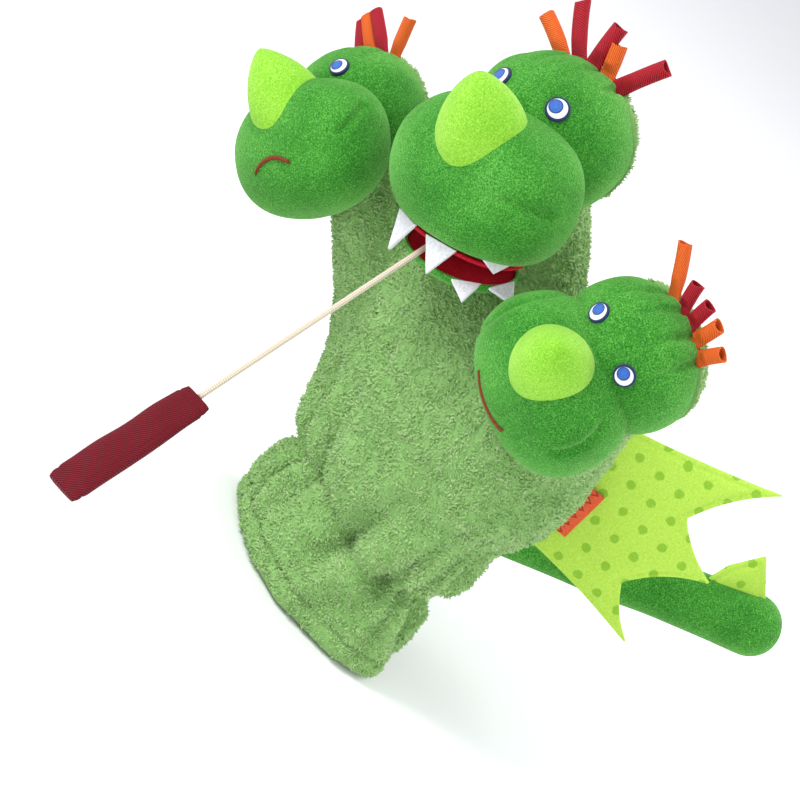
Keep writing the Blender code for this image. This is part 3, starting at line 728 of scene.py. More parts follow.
def softFolds(obj):
    # broad creases that a hand inside pulls into the outer wall, between the waist and the necks
    before = readPoints(obj)
    for part in ("front", "betweenNecks", "back"):
        for path, width, depth in creases[part]:
            groove(obj, path, width, depth)
    swell(obj, 95, 0.0014, 3)
    swell(obj, 260, 0.0006, 4)
    points = np.where(readMarks(obj)[:, None] > 0.5, readPoints(obj), before)
    hollow = creases["hollow"]
    away = np.linalg.norm(points - np.array(hollow["middle"]), axis=1)
    writePoints(obj, points + np.outer(np.exp(-(away / hollow["radius"]) ** 2), hollow["push"]))


def foldHem(obj):
    # the hem's rolled edge, and the stitched line above it
    points = readPoints(obj)
    height = points[:, 2]
    shift, wide, deep = gloveSize(height).T
    outside = np.hypot((points[:, 0] - shift) / (wide - 0.003), points[:, 1] / (deep - 0.003)) > 1
    bulge = 0.0010 * np.exp(-((height - 0.0045) / 0.0035) ** 2)
    stitched = 0.0022 * np.exp(-((height - glove["hemHeight"] - 0.0006) / 0.0013) ** 2)
    moved = np.where(outside, bulge - stitched, 0)
    writePoints(obj, points + readNormals(obj) * moved[:, None])


def neckReach(points, neck):
    # how far along a neck each point is, and how far from its axis
    away = points - np.array(neck["knuckle"])
    along = away @ np.array(neck["direction"])
    return along, np.linalg.norm(away - np.outer(along, neck["direction"]), axis=1)


def markOutside(obj):
    # tells the fleece that shows apart from the wall inside, before the folds are made
    points = readPoints(obj)
    size = gloveSize(np.clip(points[:, 2], 0, 0.1485))
    wide, deep = np.maximum(size[:, 1] - 0.0032, 0.004), np.maximum(size[:, 2] - 0.0032, 0.004)
    outside = np.hypot((points[:, 0] - size[:, 0]) / wide, points[:, 1] / deep) > 1
    outside |= points[:, 2] > 0.142
    for neck in necks.values():
        along, away = neckReach(points, neck)
        outside |= (along > 0.018) & (away < glove["neckReach"])
    outside &= points[:, 2] > 0.0022  # the hem's underside stays bare, so that it stands flat
    marks = obj.data.attributes.new("outside", "FLOAT", "POINT")
    marks.data.foreach_set("value", outside.astype(np.float32))


def cutNeck(body, side):
    # parts one neck's sleeve from the glove's fleece
    neck = necks[side]
    along, away = neckReach(readPoints(body), neck)
    inNeck = (along > neck["start"]) & (away < glove["neckReach"]) & (along < neck["length"] + 0.03)
    choose(body)
    bpy.context.tool_settings.mesh_select_mode = (False, False, True)
    body.data.polygons.foreach_set("select", [
        all(inNeck[v] for v in face.vertices) for face in body.data.polygons
    ])
    bpy.ops.object.mode_set(mode="EDIT")
    bpy.ops.mesh.separate(type="SELECTED")
    bpy.ops.object.mode_set(mode="OBJECT")
    made = [o for o in bpy.context.selected_objects if o != body][0]
    made.name = made.data.name = side + "NeckFleece"
    return smoothed(made)


def makeFleeceForms():
    # glove and sleeves are joined as voxels, folded together, then cut apart
    body = rolledForm("gloveFleece", 128, 150, gloveWall)
    forms = [neckForm(side) for side in necks]
    choose(body)
    for form in forms:
        form.select_set(True)
    bpy.ops.object.join()
    modify(body, "REMESH", mode="VOXEL", voxel_size=glove["voxel"], adaptivity=0.0)
    modify(body, "SMOOTH", factor=0.6, iterations=9)
    markOutside(body)
    gatherWaist(body)
    softFolds(body)
    foldHem(body)
    modify(body, "SMOOTH", factor=0.5, iterations=1)
    sleeves = {side: cutNeck(body, side) for side in necks}
    return smoothed(body), sleeves


curl = {
    "length": 0.0019, "radius": 0.00085, "sides": 3, "bend": 0.45, "density": 0.92,  # curls to the square mm
    "lean": 0.45, "droop": 0.15, "sink": 0.0006, "uneven": 0.35, "patches": 900,
}


def modelCurl():
    # one curl of fleece: a narrow cone with a bent tip, its base left open
    deselectAll()
    bpy.ops.mesh.primitive_cone_add(
        vertices=curl["sides"], radius1=curl["radius"], radius2=curl["radius"] * 0.25, depth=curl["length"],
        location=(0, 0, curl["length"] / 2), end_fill_type="NOTHING",
    )
    obj = bpy.context.object
    bpy.ops.object.transform_apply(location=True, rotation=True, scale=True)
    bpy.ops.object.mode_set(mode="EDIT")
    bpy.ops.mesh.select_all(action="SELECT")
    bpy.ops.mesh.bisect(plane_co=(0, 0, curl["length"] * 0.55), plane_no=(0, 0, 1))
    bpy.ops.mesh.select_all(action="DESELECT")
    bpy.ops.object.mode_set(mode="OBJECT")
    for vert in obj.data.vertices:
        vert.select = vert.co.z > curl["length"] * 0.9
    bpy.ops.object.mode_set(mode="EDIT")
    bpy.ops.mesh.merge(type="CENTER")
    bpy.ops.object.mode_set(mode="OBJECT")
    points = readPoints(obj)
    share = points[:, 2] / curl["length"]
    points[:, 0] += curl["length"] * curl["bend"] * share ** 2
    faces = [tuple(face.vertices) for face in obj.data.polygons]
    bpy.data.objects.remove(obj)
    return points, share, faces


curlPoints, curlShare, curlFaces = modelCurl()


def growCurls(name, skin, keep, size=1.0):
    # curls sown evenly over the kept faces of a skin, each leaning its own way
    mesh = skin.data
    mesh.calc_loop_triangles()
    corners = np.empty(len(mesh.loop_triangles) * 3, np.int32)
    mesh.loop_triangles.foreach_get("vertices", corners)
    points = readPoints(skin)
    normals = readNormals(skin)
    corners = corners.reshape(-1, 3)
    if "outside" in mesh.attributes:
        corners = corners[readMarks(skin)[corners].mean(axis=1) > 0.5]
    corners = corners[keep(points[corners].mean(axis=1), normals[corners].mean(axis=1))]
    a, b, c = points[corners[:, 0]], points[corners[:, 1]], points[corners[:, 2]]
    area = np.linalg.norm(np.cross(b - a, c - a), axis=1) / 2
    count = int(area.sum() * 1e6 * curl["density"])
    chosen = random.choice(len(area), size=count, p=area / area.sum())
    u, v = random.random(count), random.random(count)
    over = u + v > 1
    u, v = np.where(over, 1 - u, u)[:, None], np.where(over, 1 - v, v)[:, None]
    spot = a[chosen] * (1 - u - v) + b[chosen] * u + c[chosen] * v
    up = normals[corners[chosen]].mean(axis=1)
    up += random.normal(size=up.shape) * curl["lean"]
    up[:, 2] -= curl["droop"]
    up /= np.linalg.norm(up, axis=1)[:, None]
    side = np.cross(up, random.normal(size=up.shape))
    side /= np.linalg.norm(side, axis=1)[:, None]
    third = np.cross(up, side)
    grow = random.uniform(0.7, 1.2, count) * size * (1 + curl["uneven"] * hills(spot, curl["patches"], 5))
    placed = spot[:, None, :] + grow[:, None, None] * (
        curlPoints[None, :, 0:1] * side[:, None, :] + curlPoints[None, :, 1:2] * third[:, None, :]
        + (curlPoints[None, :, 2:3] - curl["sink"]) * up[:, None, :]
    )
    each = len(curlPoints)
    made = bpy.data.meshes.new(name)
    made.from_pydata(
        placed.reshape(-1, 3).tolist(), [],
        [tuple(i * each + v for v in face) for i in range(count) for face in curlFaces],
    )
    obj = bpy.data.objects.new(name, made)
    bpy.context.scene.collection.objects.link(obj)
    # fluffTip drives the fleece's painted shade, darkest at each curl's root
    tip = made.attributes.new("fluffTip", "FLOAT", "POINT")
    tip.data.foreach_set("value", np.tile(curlShare, count).astype(np.float32))
    tone = made.attributes.new("fluffTone", "FLOAT", "POINT")
    tone.data.foreach_set("value", np.repeat(random.random(count), each).astype(np.float32))
    return dress(smoothed(obj), "plush")


def makeFleece():
    body, sleeves = makeFleeceForms()
    dress(body, "plush")
    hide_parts("front_panel", "back_panel", "cuff_hem")
    for part, front in (("gloveCurlsFront", True), ("gloveCurlsBack", False)):
        curls = growCurls(part, body, lambda p, n, front=front: (p[:, 1] < 0) == front)
        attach(curls, "glove")
    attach(body, "glove")
    for side, neck in necks.items():
        sleeve = dress(sleeves[side], "plush")
        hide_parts(side + "_neck")

        def shown(points, normals, neck=neck):
            # not where the sleeve runs into the head
            return neckReach(points, neck)[0] < neck["length"] - 0.004

        curls = growCurls(side + "NeckCurls", sleeve, shown)
        for piece in (sleeve, curls):
            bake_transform(piece)


makeFleece()
makeElastic()
print("fleece grown")


# Heads

heads = {
    "left": {"yaw": -13, "pitch": 24, "lean": -53, "size": 0.95},
    "middle": {"yaw": 10, "pitch": 15, "lean": -19, "size": 1.08},
    "right": {"yaw": 13, "pitch": 27, "lean": 17, "size": 0.95},
}
skull = {
    "half": (0.0305, 0.0265, 0.0275), "seam": 0.0125, "nape": 1.03,
    "pleats": (-0.0125, -0.0045, 0.0045, 0.0125), "pleatReach": 0.0235,
}
muzzle = {
    "half": (0.0355, 0.0240, 0.0275), "centre": (0, -0.0275, -0.0165), "square": 2.4,
    "palate": -0.0385, "lip": 0.0016, "sideSeam": 0.8,
}
fingertip = Vector((0, 0.006, -0.012))


def headMatrix(side):
    head = heads[side]
    yaw = Matrix.Rotation(math.radians(head["yaw"]), 4, "Z")
    lean = Matrix.Rotation(math.radians(head["lean"]), 4, "Y")
    pitch = Matrix.Rotation(math.radians(head["pitch"]), 4, "X")
    pivot = Matrix.Translation(joints[side + "_head_nod"]["pos_m"])
    return pivot @ yaw @ lean @ pitch @ Matrix.Scale(head["size"], 4) @ Matrix.Translation(-fingertip)


def settle(obj, side, body=None):
    # puts a piece that was modelled at size 1 on its neck
    obj.data.transform(headMatrix(side))
    obj.data.update()
    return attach(obj, body or side + "_head")


def ballDirection(angle, share):
    # directions all round, with the poles to the two sides
    polar = share * math.pi
    return np.stack([np.cos(polar), np.sin(polar) * np.cos(angle), np.sin(polar) * np.sin(angle)], axis=1)


def cutFlat(obj, level, **sides):
    # cuts a form straight across its Y axis, and closes the cut
    editAll(obj, lambda: bpy.ops.mesh.bisect(
        plane_co=(0, level, 0), plane_no=(0, 1, 0), use_fill=True, **sides
    ))


def squared(direction):
    # the length by which a direction's superellipse is wider than its ball
    power = muzzle["square"]
    return (np.abs(direction) ** power).sum(axis=1) ** (1 / power)


def makeSkull(side):
    half = np.array(skull["half"])
    obj = rolledForm(side + "Skull", 144, 96, lambda angle, share: ballDirection(angle, share) * half)
    cutFlat(obj, skull["seam"], clear_outer=True)
    for across in skull["pleats"]:
        # a pleat runs forward from the ribbons' seam, deepest at its start
        path = []
        for i in range(7):
            back = i / 6
            x = across * (1.15 + 0.35 * back)
            y = skull["seam"] - skull["pleatReach"] * back
            z = half[2] * math.sqrt(max(0.05, 1 - (x / half[0]) ** 2 - (y / half[1]) ** 2))
            path.append((x, y, z))
        groove(obj, path[:4], 0.0013, 0.0015)
        groove(obj, path, 0.0017, 0.0010)
    swell(obj, 240, 0.0004, 11)
    smoothed(obj)
    dress(obj, "velour")
    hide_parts(side + "_skull")
    return settle(obj, side)


def makeNape(side):
    half = np.array(skull["half"]) * skull["nape"]
    obj = rolledForm(side + "Nape", 72, 48, lambda angle, share: ballDirection(angle, share) * half)
    cutFlat(obj, skull["seam"] + 0.0003, clear_inner=True)
    dress(obj, "plush")
    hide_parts(side + "_nape")

    def shown(points, normals):
        return (points[:, 1] > skull["seam"] + 0.0012) & (normals[:, 1] > 0.1)

    curls = growCurls(side + "NapeCurls", obj, shown, size=0.95)
    settle(curls, side)
    return settle(obj, side)


def muzzlePoint(direction, lift=0.0):
    # where a direction from the muzzle's middle meets its skin
    direction = np.array([direction], float)
    on = direction / squared(direction / np.array(muzzle["half"]))[:, None]
    outward = direction / np.linalg.norm(direction)
    return Vector((np.array(muzzle["centre"]) + on + outward * lift)[0])


muzzleCreases = {
    "left": ((0.0355, -0.002, 0.010), (0.034, -0.0065, 0.005), (0.031, -0.0125, -0.0005)),
    "middle": ((0.024, -0.0195, 0.005), (0.029, -0.014, 0.004), (0.033, -0.008, 0.003)),
    "right": ((0.0283, -0.0145, 0.006), (0.031, -0.0075, 0.014), (0.030, -0.001, 0.022)),
}


def makeMuzzle(side):
    half, centre = np.array(muzzle["half"]), np.array(muzzle["centre"])

    def shape(angle, share):
        ball = ballDirection(angle, share)
        return ball / squared(ball)[:, None] * half + centre

    obj = rolledForm(side + "Muzzle", 160, 112, shape)
    if side == "middle":
        # flattened underneath, where the palate lies, with a soft lip
        points = readPoints(obj)
        above = (points[:, 2] - muzzle["palate"]) / muzzle["lip"]
        softened = np.log1p(np.exp(np.clip(above, -30, 30)))
        points[:, 2] = muzzle["palate"] + muzzle["lip"] * np.where(above > 25, above, softened)
        writePoints(obj, points)
    groove(obj, [muzzlePoint(p) for p in muzzleCreases[side]], 0.0018, 0.0018)
    if side == "right":
        ring = muzzle["sideSeam"]
        seam = [
            muzzlePoint((-0.030, half[1] * ring * math.cos(a), half[2] * ring * math.sin(a)))
            for a in (math.tau * i / 32 for i in range(33))
        ]
        groove(obj, seam, 0.0015, 0.0011)
    swell(obj, 150, 0.0006, 21)
    smoothed(obj)
    dress(obj, "velour")
    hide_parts(side + "_muzzle")
    return settle(obj, side)


horn = {
    "foot": (0, -0.0375, -0.0005), "tip": (0, -0.0487, 0.0245), "radius": 0.0160,
    "sunk": 0.004, "lean": 0.0012,
}


def makeHorn(side):
    foot, tip = Vector(horn["foot"]), Vector(horn["tip"])
    length = (tip - foot).length
    place = np.array(lookAlong(foot, tip - foot))

    def shape(angle, share):
        # a blunt cone on a flat base
        base = 0.12
        height = np.interp(share, (0, base, 1), (-horn["sunk"], 0.001 - horn["sunk"], length))
        level = np.clip(height / length, 0, 1)
        radius = horn["radius"] * (1 - level ** 1.7) ** 0.72 * np.clip(share / base, 0, 1)
        radius = np.where(share > 0.999, 0, radius)
        lean = -horn["lean"] * level ** 2
        local = np.stack([
            radius * np.cos(angle), radius * np.sin(angle) + lean, height, np.ones(len(angle))
        ], axis=1)
        return (local @ place.T)[:, :3]

    obj = rolledForm(side + "Horn", 96, 64, shape)
    swell(obj, 200, 0.0004, 31)
    smoothed(obj)
    dress(obj, "lime")
    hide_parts(side + "_horn")
    return settle(obj, side)


eye = {"place": (0.0120, -0.0178, 0.0138), "radius": 0.0044, "rise": 0.0011, "brow": (0, 0.4, 1)}


def onBall(aim, half, lift):
    # where a direction meets an ellipsoid, and its normal there
    aim, half = Vector(aim), Vector(half)
    on = aim / Vector((aim.x / half.x, aim.y / half.y, aim.z / half.z)).length
    normal = Vector((on.x / half.x ** 2, on.y / half.y ** 2, on.z / half.z ** 2)).normalized()
    return on + normal * lift, normal


def eyeDome(angle, share):
    # a low dome of stitches, with a straight edge and a flat back
    stops = (0, 0.8, 0.9, 1)
    radius = np.interp(share, stops, (0, 1, 1, 0)) * eye["radius"]
    height = np.interp(share, stops, (1, 0, -0.6, -0.6)) * eye["rise"]
    dome = np.where(share < stops[1], eye["rise"] * (1 - (radius / eye["radius"]) ** 2 * 0.45), height)
    return np.stack([radius * np.cos(angle), radius * np.sin(angle), dome], axis=1)


def makeEyes(side):
    for hand, number in ((-1, 1), (1, 2)):
        aim = (hand * eye["place"][0], eye["place"][1], eye["place"][2])
        spot, normal = onBall(aim, skull["half"], 0.0002)
        across = Vector(eye["brow"]).cross(normal).normalized()
        turn = np.array([across, normal.cross(across), normal])
        obj = rolledForm(f"{side}Eye{number}", 40, 30, eyeDome)
        points = readPoints(obj)
        chartOf(obj, "eye", points[:, :2] / eye["radius"])
        writePoints(obj, points @ turn + np.array(spot))
        editAll(obj, faceOut)
        smoothed(obj)
        dress(obj, "eye")
        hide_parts(f"{side}_eye_{number}")
        settle(obj, side)


hair = {
    "row": 0.0136, "across": 0.0062, "deep": 0.0050, "thickness": 0.0006, "sunk": 0.003, "tilt": -12,
    "bends": (-0.10, 0.12, 0.06, -0.05, 0.04),
    "lengths": {
        "left": (0.012, 0.018, 0.019, 0.021, 0.016), "middle": (0.017, 0.019, 0.015, 0.010, 0.018),
        "right": (0.019, 0.010, 0.010, 0.011, 0.010),
    },
    "leans": {
        "left": (-48, -6, -15, -12, 29), "middle": (-52, -34, 10, -2, 43), "right": (-46, -33, -12, 4, 17),
    },
    "colours": {"left": "ororo", "middle": "orror", "right": "orroo"},
}


def ribbonTube(name, length, bend):
    # a ribbon sewn into a tube, pinched flat in the seam and open at its end
    def shape(angle, share):
        level = share * (length + hair["sunk"]) - hair["sunk"]
        part = np.clip(level / length, 0, 1)
        opened = 0.35 + 0.65 * np.clip(part / 0.3, 0, 1)
        x = hair["across"] / 2 * (1.12 - 0.12 * opened) * np.cos(angle) + bend * part ** 2 * length
        y = hair["deep"] / 2 * opened * np.sin(angle)
        return np.stack([x, y, level + 0.0003 * np.cos(2 * angle) * part], axis=1)

    obj = rolledForm(name, 28, 26, shape)
    points = readPoints(obj)
    around = np.arctan2(points[:, 1], points[:, 0])
    chartOf(obj, "ribbon", np.stack([around * 2.4, points[:, 2] * 1000], axis=1))
    modify(obj, "SOLIDIFY", thickness=hair["thickness"], offset=-1)
    modify(obj, "BEVEL", width=0.00018, segments=2, limit_method="ANGLE", angle_limit=math.radians(60))
    editAll(obj, faceOut)
    return smoothed(obj)


def makeHair(side):
    names = {"o": ("orange", "orange_ribbon"), "r": ("red", "red_ribbon")}
    half = Vector(skull["half"]) * skull["nape"]
    for i, length in enumerate(hair["lengths"][side]):
        across = hair["row"] * (i - 2) / 2
        level = half.z * math.sqrt(1 - (across / half.x) ** 2 - (skull["seam"] / half.y) ** 2)
        spot, _ = onBall((across, skull["seam"], level), half, 0.0002)
        lean = math.radians(hair["leans"][side][i])
        stand = Matrix.Rotation(lean, 4, "Y") @ Matrix.Rotation(math.radians(hair["tilt"]), 4, "X")
        obj = ribbonTube(f"{side}Hair{i + 1}", length, hair["bends"][i])
        obj.data.transform(Matrix.Translation(spot) @ stand)
        paint, slotName = names[hair["colours"][side][i]]
        dress(obj, paint)
        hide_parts(f"{side}_hair_{i + 1}")
        settle(obj, side)


frown = {
    "left": {"bend": 0.004, "level": -0.009, "width": 0.0105},
    "right": {"bend": -0.004, "level": -0.009, "width": 0.0130},
    "radius": 0.0008, "lift": 0.0007, "cap": 0.04,
}


def makeFrown(side):
    # a row of satin stitches in a shallow arc over the muzzle's front
    line, rows, cap = frown[side], 40, frown["cap"]
    spots = []
    for i in range(rows + 1):
        share = 2 * i / rows - 1
        aim = (line["width"] * share, -muzzle["half"][1], line["level"] + line["bend"] * (1 - share ** 2))
        spots.append(muzzlePoint(aim, frown["lift"]))
    spots = np.array(spots)

    def shape(angle, share):
        at = (np.clip(share, cap, 1 - cap) - cap) / (1 - 2 * cap) * rows
        low = np.clip(at.astype(int), 0, rows - 1)
        part = (at - low)[:, None]
        middle = spots[low] * (1 - part) + spots[low + 1] * part
        closed = np.where((share < cap / 2) | (share > 1 - cap / 2), 0, 1)
        radius = frown["radius"] * closed * (1 + 0.25 * np.sin(share * 300))
        return middle + np.stack([
            np.zeros(len(angle)), radius * 0.6 * np.cos(angle), radius * np.sin(angle)
        ], axis=1)

    obj = rolledForm(side + "MouthStitch", 10, 160, shape)
    dress(obj, "stitch")
    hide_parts(side + "_mouth_stitch")
    settle(obj, side)


for headName in heads:
    makeSkull(headName)
    makeNape(headName)
    makeMuzzle(headName)
    makeHorn(headName)
    makeEyes(headName)
    makeHair(headName)
makeFrown("left")
makeFrown("right")
print("heads made")


# Mouth of the middle head

mouth = {
    "hinge": (0, -0.014, -0.0420), "open": 16, "inset": 0.002, "depth": 0.0075, "back": -0.002,
    "lining": 0.0014, "palateShare": 0.93, "jawShare": 0.97, "tooth": 0.0014,
}
upperTeeth = {
    "angles": (-46, 4, 58), "facings": (-24, 4, 52), "lengths": (0.0125, 0.0110, 0.0045),
    "raised": (0.001, 0.001, 0.0035), "width": 0.0135, "tilt": -14,
}
lowerTeeth = {"angles": (36, 76), "length": 0.0085, "width": 0.0105, "tilt": -68}


def rim(angle, share, height):
    # a point on the muzzle's outline at a height, at an angle from straight ahead
    half, centre = muzzle["half"], muzzle["centre"]
    left = 1 - abs((height - centre[2]) / half[2]) ** muzzle["square"]
    turn = math.radians(angle)
    power = muzzle["square"]
    reach = (abs(math.sin(turn)) ** power + abs(math.cos(turn)) ** power) ** (1 / power)
    level = left ** (1 / power) / reach
    return Vector((
        half[0] * level * share * math.sin(turn), centre[1] - half[1] * level * share * math.cos(turn), height
    ))


def jawMatrix():
    hinge = Matrix.Translation(mouth["hinge"])
    return hinge @ Matrix.Rotation(math.radians(mouth["open"]), 4, "X")


def feltTriangle(name, width, length):
    # a cut felt triangle: a three-sided disc, thickened, with soft edges
    deselectAll()
    bpy.ops.mesh.primitive_circle_add(vertices=3, radius=1, fill_type="NGON")
    obj = bpy.context.object
    obj.name = obj.data.name = name
    for vert, spot in zip(obj.data.vertices, ((0, 0, -length), (width / 2, 0, 0), (-width / 2, 0, 0))):
        vert.co = spot
    modify(obj, "SOLIDIFY", thickness=mouth["tooth"], offset=0)
    editAll(obj, faceOut)
    modify(obj, "REMESH", mode="VOXEL", voxel_size=0.0003, adaptivity=0.0)
    modify(obj, "SMOOTH", factor=0.5, iterations=4)
    swell(obj, 500, 0.00012, 41)
    return smoothed(obj)


def liningDisc(name, outline, height):
    # felt cut to an outline in the head's axes: its top, its edge, then its underside
    corners = len(outline)
    centre = outline.mean(axis=0)
    stops = (0, 0.46, 0.54, 1)

    def shape(angle, share):
        at = angle / math.tau * corners
        low = at.astype(int) % corners
        part = (at - np.floor(at))[:, None]
        edge = outline[low] * (1 - part) + outline[(low + 1) % corners] * part
        points = centre + (edge - centre) * np.interp(share, stops, (0, 1, 1, 0))[:, None]
        thick = np.interp(share, stops, (1, 1, 0, 0)) * mouth["lining"]
        return np.concatenate([points, (height - mouth["lining"] + thick)[:, None]], axis=1)

    return rolledForm(name, 112, 40, shape)


def makeMouth():
    angles = np.linspace(0, 360, 64, endpoint=False)
    outline = np.array([rim(a, mouth["palateShare"], muzzle["palate"])[:2] for a in angles])
    palate = liningDisc("palateLining", outline, muzzle["palate"] - 0.0002)
    dress(palate, "lining")
    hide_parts("middle_palate_lining")
    settle(palate, "middle")
    teeth = upperTeeth
    for i, angle in enumerate(teeth["angles"]):
        tooth = feltTriangle(f"upperTooth{i + 1}", teeth["width"], teeth["lengths"][i] + 0.001)
        spot = rim(angle, 1.0, muzzle["palate"] - 0.0006)
        facing = Matrix.Rotation(math.radians(teeth["facings"][i]), 4, "Z")
        stand = facing @ Matrix.Rotation(math.radians(teeth["tilt"]), 4, "X")
        raised = Matrix.Translation((0, 0, teeth["raised"][i]))
        tooth.data.transform(Matrix.Translation(spot) @ stand @ raised)
        dress(tooth, "felt")
        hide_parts(f"middle_upper_tooth_{i + 1}")
        settle(tooth, "middle")


def makeJaw():
    nose, nape = rim(0, 1, muzzle["palate"]).y, rim(180, 1, muzzle["palate"]).y
    half = np.array([
        rim(90, 1, muzzle["palate"]).x - mouth["inset"], (nape - nose) / 2 - mouth["inset"], mouth["depth"]
    ])
    middle = nose + mouth["inset"] - mouth["hinge"][1] + half[1]

    def shape(angle, share):
        # a shallow velour dish whose lip rolls up round the felt
        lipStart, lipEnd = 0.34, 0.62
        stops = (lipStart, 0.42, 0.5, lipEnd)
        polar = np.interp(share, (0, lipStart, lipEnd, 1), (0, 1, 1, 0))
        lip = np.interp(share, stops, (-0.0012, 0.0016, 0.0014, -0.0010))
        below = -half[2] * np.sqrt(np.clip(1 - polar ** 2, 0, 1))
        height = np.where(share < lipEnd, lip, np.minimum(-0.001, below))
        spread = np.interp(share, stops, (0.96, 0.99, 1.03, 1.02))
        reach = np.where((share > lipStart) & (share < lipEnd), spread, polar)
        return np.stack([
            half[0] * reach * np.sin(angle), middle - half[1] * reach * np.cos(angle), height
        ], axis=1)

    obj = rolledForm("lowerJaw", 120, 70, shape)
    cutFlat(obj, mouth["back"], clear_outer=True)
    smoothed(obj)
    obj.data.transform(jawMatrix())
    dress(obj, "velour")
    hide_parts("lower_jaw")
    settle(obj, "middle", "jaw")
    angles = np.linspace(0, math.tau, 64, endpoint=False)
    width, depth = half[:2] * mouth["jawShare"]
    outline = np.array([[width * math.sin(a), middle - depth * math.cos(a)] for a in angles])
    felt = liningDisc("jawLining", outline, 0.0002)
    cutFlat(felt, mouth["back"], clear_outer=True)
    smoothed(felt)
    felt.data.transform(jawMatrix())
    dress(felt, "lining")
    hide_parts("jaw_lining")
    settle(felt, "middle", "jaw")
    for i, angle in enumerate(lowerTeeth["angles"]):
        turn = math.radians(angle)
        spot = Vector((half[0] * math.sin(turn), middle - half[1] * math.cos(turn), 0.0012))
        flop = Matrix.Rotation(turn, 4, "Z") @ Matrix.Rotation(math.radians(lowerTeeth["tilt"]), 4, "X")
        tooth = feltTriangle(f"lowerTooth{i + 1}", lowerTeeth["width"], lowerTeeth["length"])
        tooth.data.transform(jawMatrix() @ Matrix.Translation(spot) @ flop)
        dress(tooth, "felt")
        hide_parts(f"lower_tooth_{i + 1}")
        settle(tooth, "middle", "jaw")


makeMouth()
makeJaw()
repaint("cord_eyelet", "stitch")
print("mouth made")


# Tongue: folded twill over the cord's end

tongue = {
    "length": 0.062, "width": 0.0135, "thickness": 0.0060, "clearance": 0.0003, "square": 2.8,
    "stitchRows": (0.0035, 0.058), "stitchAside": 0.0045,
}


def makeTongue():
    place = lookAlong(cordLine[-1] + cordDirection * tongue["clearance"], cordDirection)

    def rounded(value):
        # a cosine or a sine, pushed out towards a box's side
        return np.sign(value) * np.abs(value) ** (2 / tongue["square"])

    def shape(angle, share):
        level = np.interp(share, (0, 0.03, 0.97, 1), (0, 0, 1, 1))
        close = np.where((share < 0.001) | (share > 0.999), 0, 1)
        width = np.interp(level, (0, 0.06, 0.4, 0.9, 0.97, 1), (0.84, 0.98, 1.0, 1.06, 1.0, 0.9))
        thick = np.interp(level, (0, 0.08, 0.5, 0.9, 1), (0.45, 0.8, 1.0, 0.9, 0.5))
        x = rounded(np.cos(angle)) * tongue["width"] / 2 * width * close
        y = rounded(np.sin(angle)) * tongue["thickness"] / 2 * thick * close
        return np.stack([x, y, level * tongue["length"]], axis=1)

    obj = rolledForm("twillTongue", 56, 110, shape)
    points = readPoints(obj)
    chartOf(obj, "ribbon", np.stack([points[:, 0] * 1000, points[:, 2] * 1000], axis=1))
    for level in tongue["stitchRows"]:
        ring = [
            (tongue["width"] / 2 * math.cos(a), tongue["thickness"] / 2 * math.sin(a), level)
            for a in (math.tau * i / 24 for i in range(25))
        ]
        groove(obj, ring, 0.0006, 0.0004)
    x, y = tongue["stitchAside"], tongue["thickness"] / 2
    for hand in (-1, 1):
        groove(obj, [(hand * x, hand * y, 0.003), (hand * (x - 0.0003), hand * y, 0.058)], 0.0005, 0.0004)
    swell(obj, 300, 0.00035, 51)
    obj.data.transform(place)
    smoothed(obj)
    dress(obj, "tongue")
    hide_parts("tongue")
    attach(obj, "tongue")


makeTongue()
print("tongue made")


# Tail, wings and label

tail = {"length": 0.122, "turn": 33, "rise": 17, "root": 0.0095, "end": 0.0132, "caps": 0.2}
fin = {"length": 0.034, "height": 0.018, "thick": 0.0034}
wadding = {
    "voxel": 0.0007, "puff": 0.006, "edge": 0.42, "seam": 0.34, "seamInset": 0.0022, "seamWidth": 0.0007,
}


def paddedSheet(name, outline, thick):
    # two layers over wadding: an outline in the XZ plane, filled, thickened and puffed inside its stitching
    deselectAll()
    bpy.ops.mesh.primitive_circle_add(vertices=len(outline), radius=1, fill_type="NGON")
    obj = bpy.context.object
    obj.name = obj.data.name = name
    for vert, (x, z) in zip(obj.data.vertices, outline):
        vert.co = (x, 0, z)
    modify(obj, "SOLIDIFY", thickness=thick, offset=0)
    editAll(obj, faceOut)
    modify(obj, "REMESH", mode="VOXEL", voxel_size=wadding["voxel"], adaptivity=0.0)
    modify(obj, "SMOOTH", factor=0.5, iterations=3)
    points = readPoints(obj)
    level = points.copy()
    level[:, 1] = 0
    inside = distanceTo(level, [(x, 0, z) for x, z in (*outline, outline[0])])
    puff = np.clip(inside / wadding["puff"], 0, 1)
    seam = wadding["seam"] * np.exp(-((inside - wadding["seamInset"]) / wadding["seamWidth"]) ** 2)
    points[:, 1] *= wadding["edge"] + (1 - wadding["edge"]) * puff * (2 - puff) - seam
    points[:, 1] += 0.0009 * hills(level, 120, 71)
    writePoints(obj, points)
    chartOf(obj, "print", np.stack([points[:, 0] * 1000, points[:, 2] * 1000], axis=1))
    return smoothed(obj)


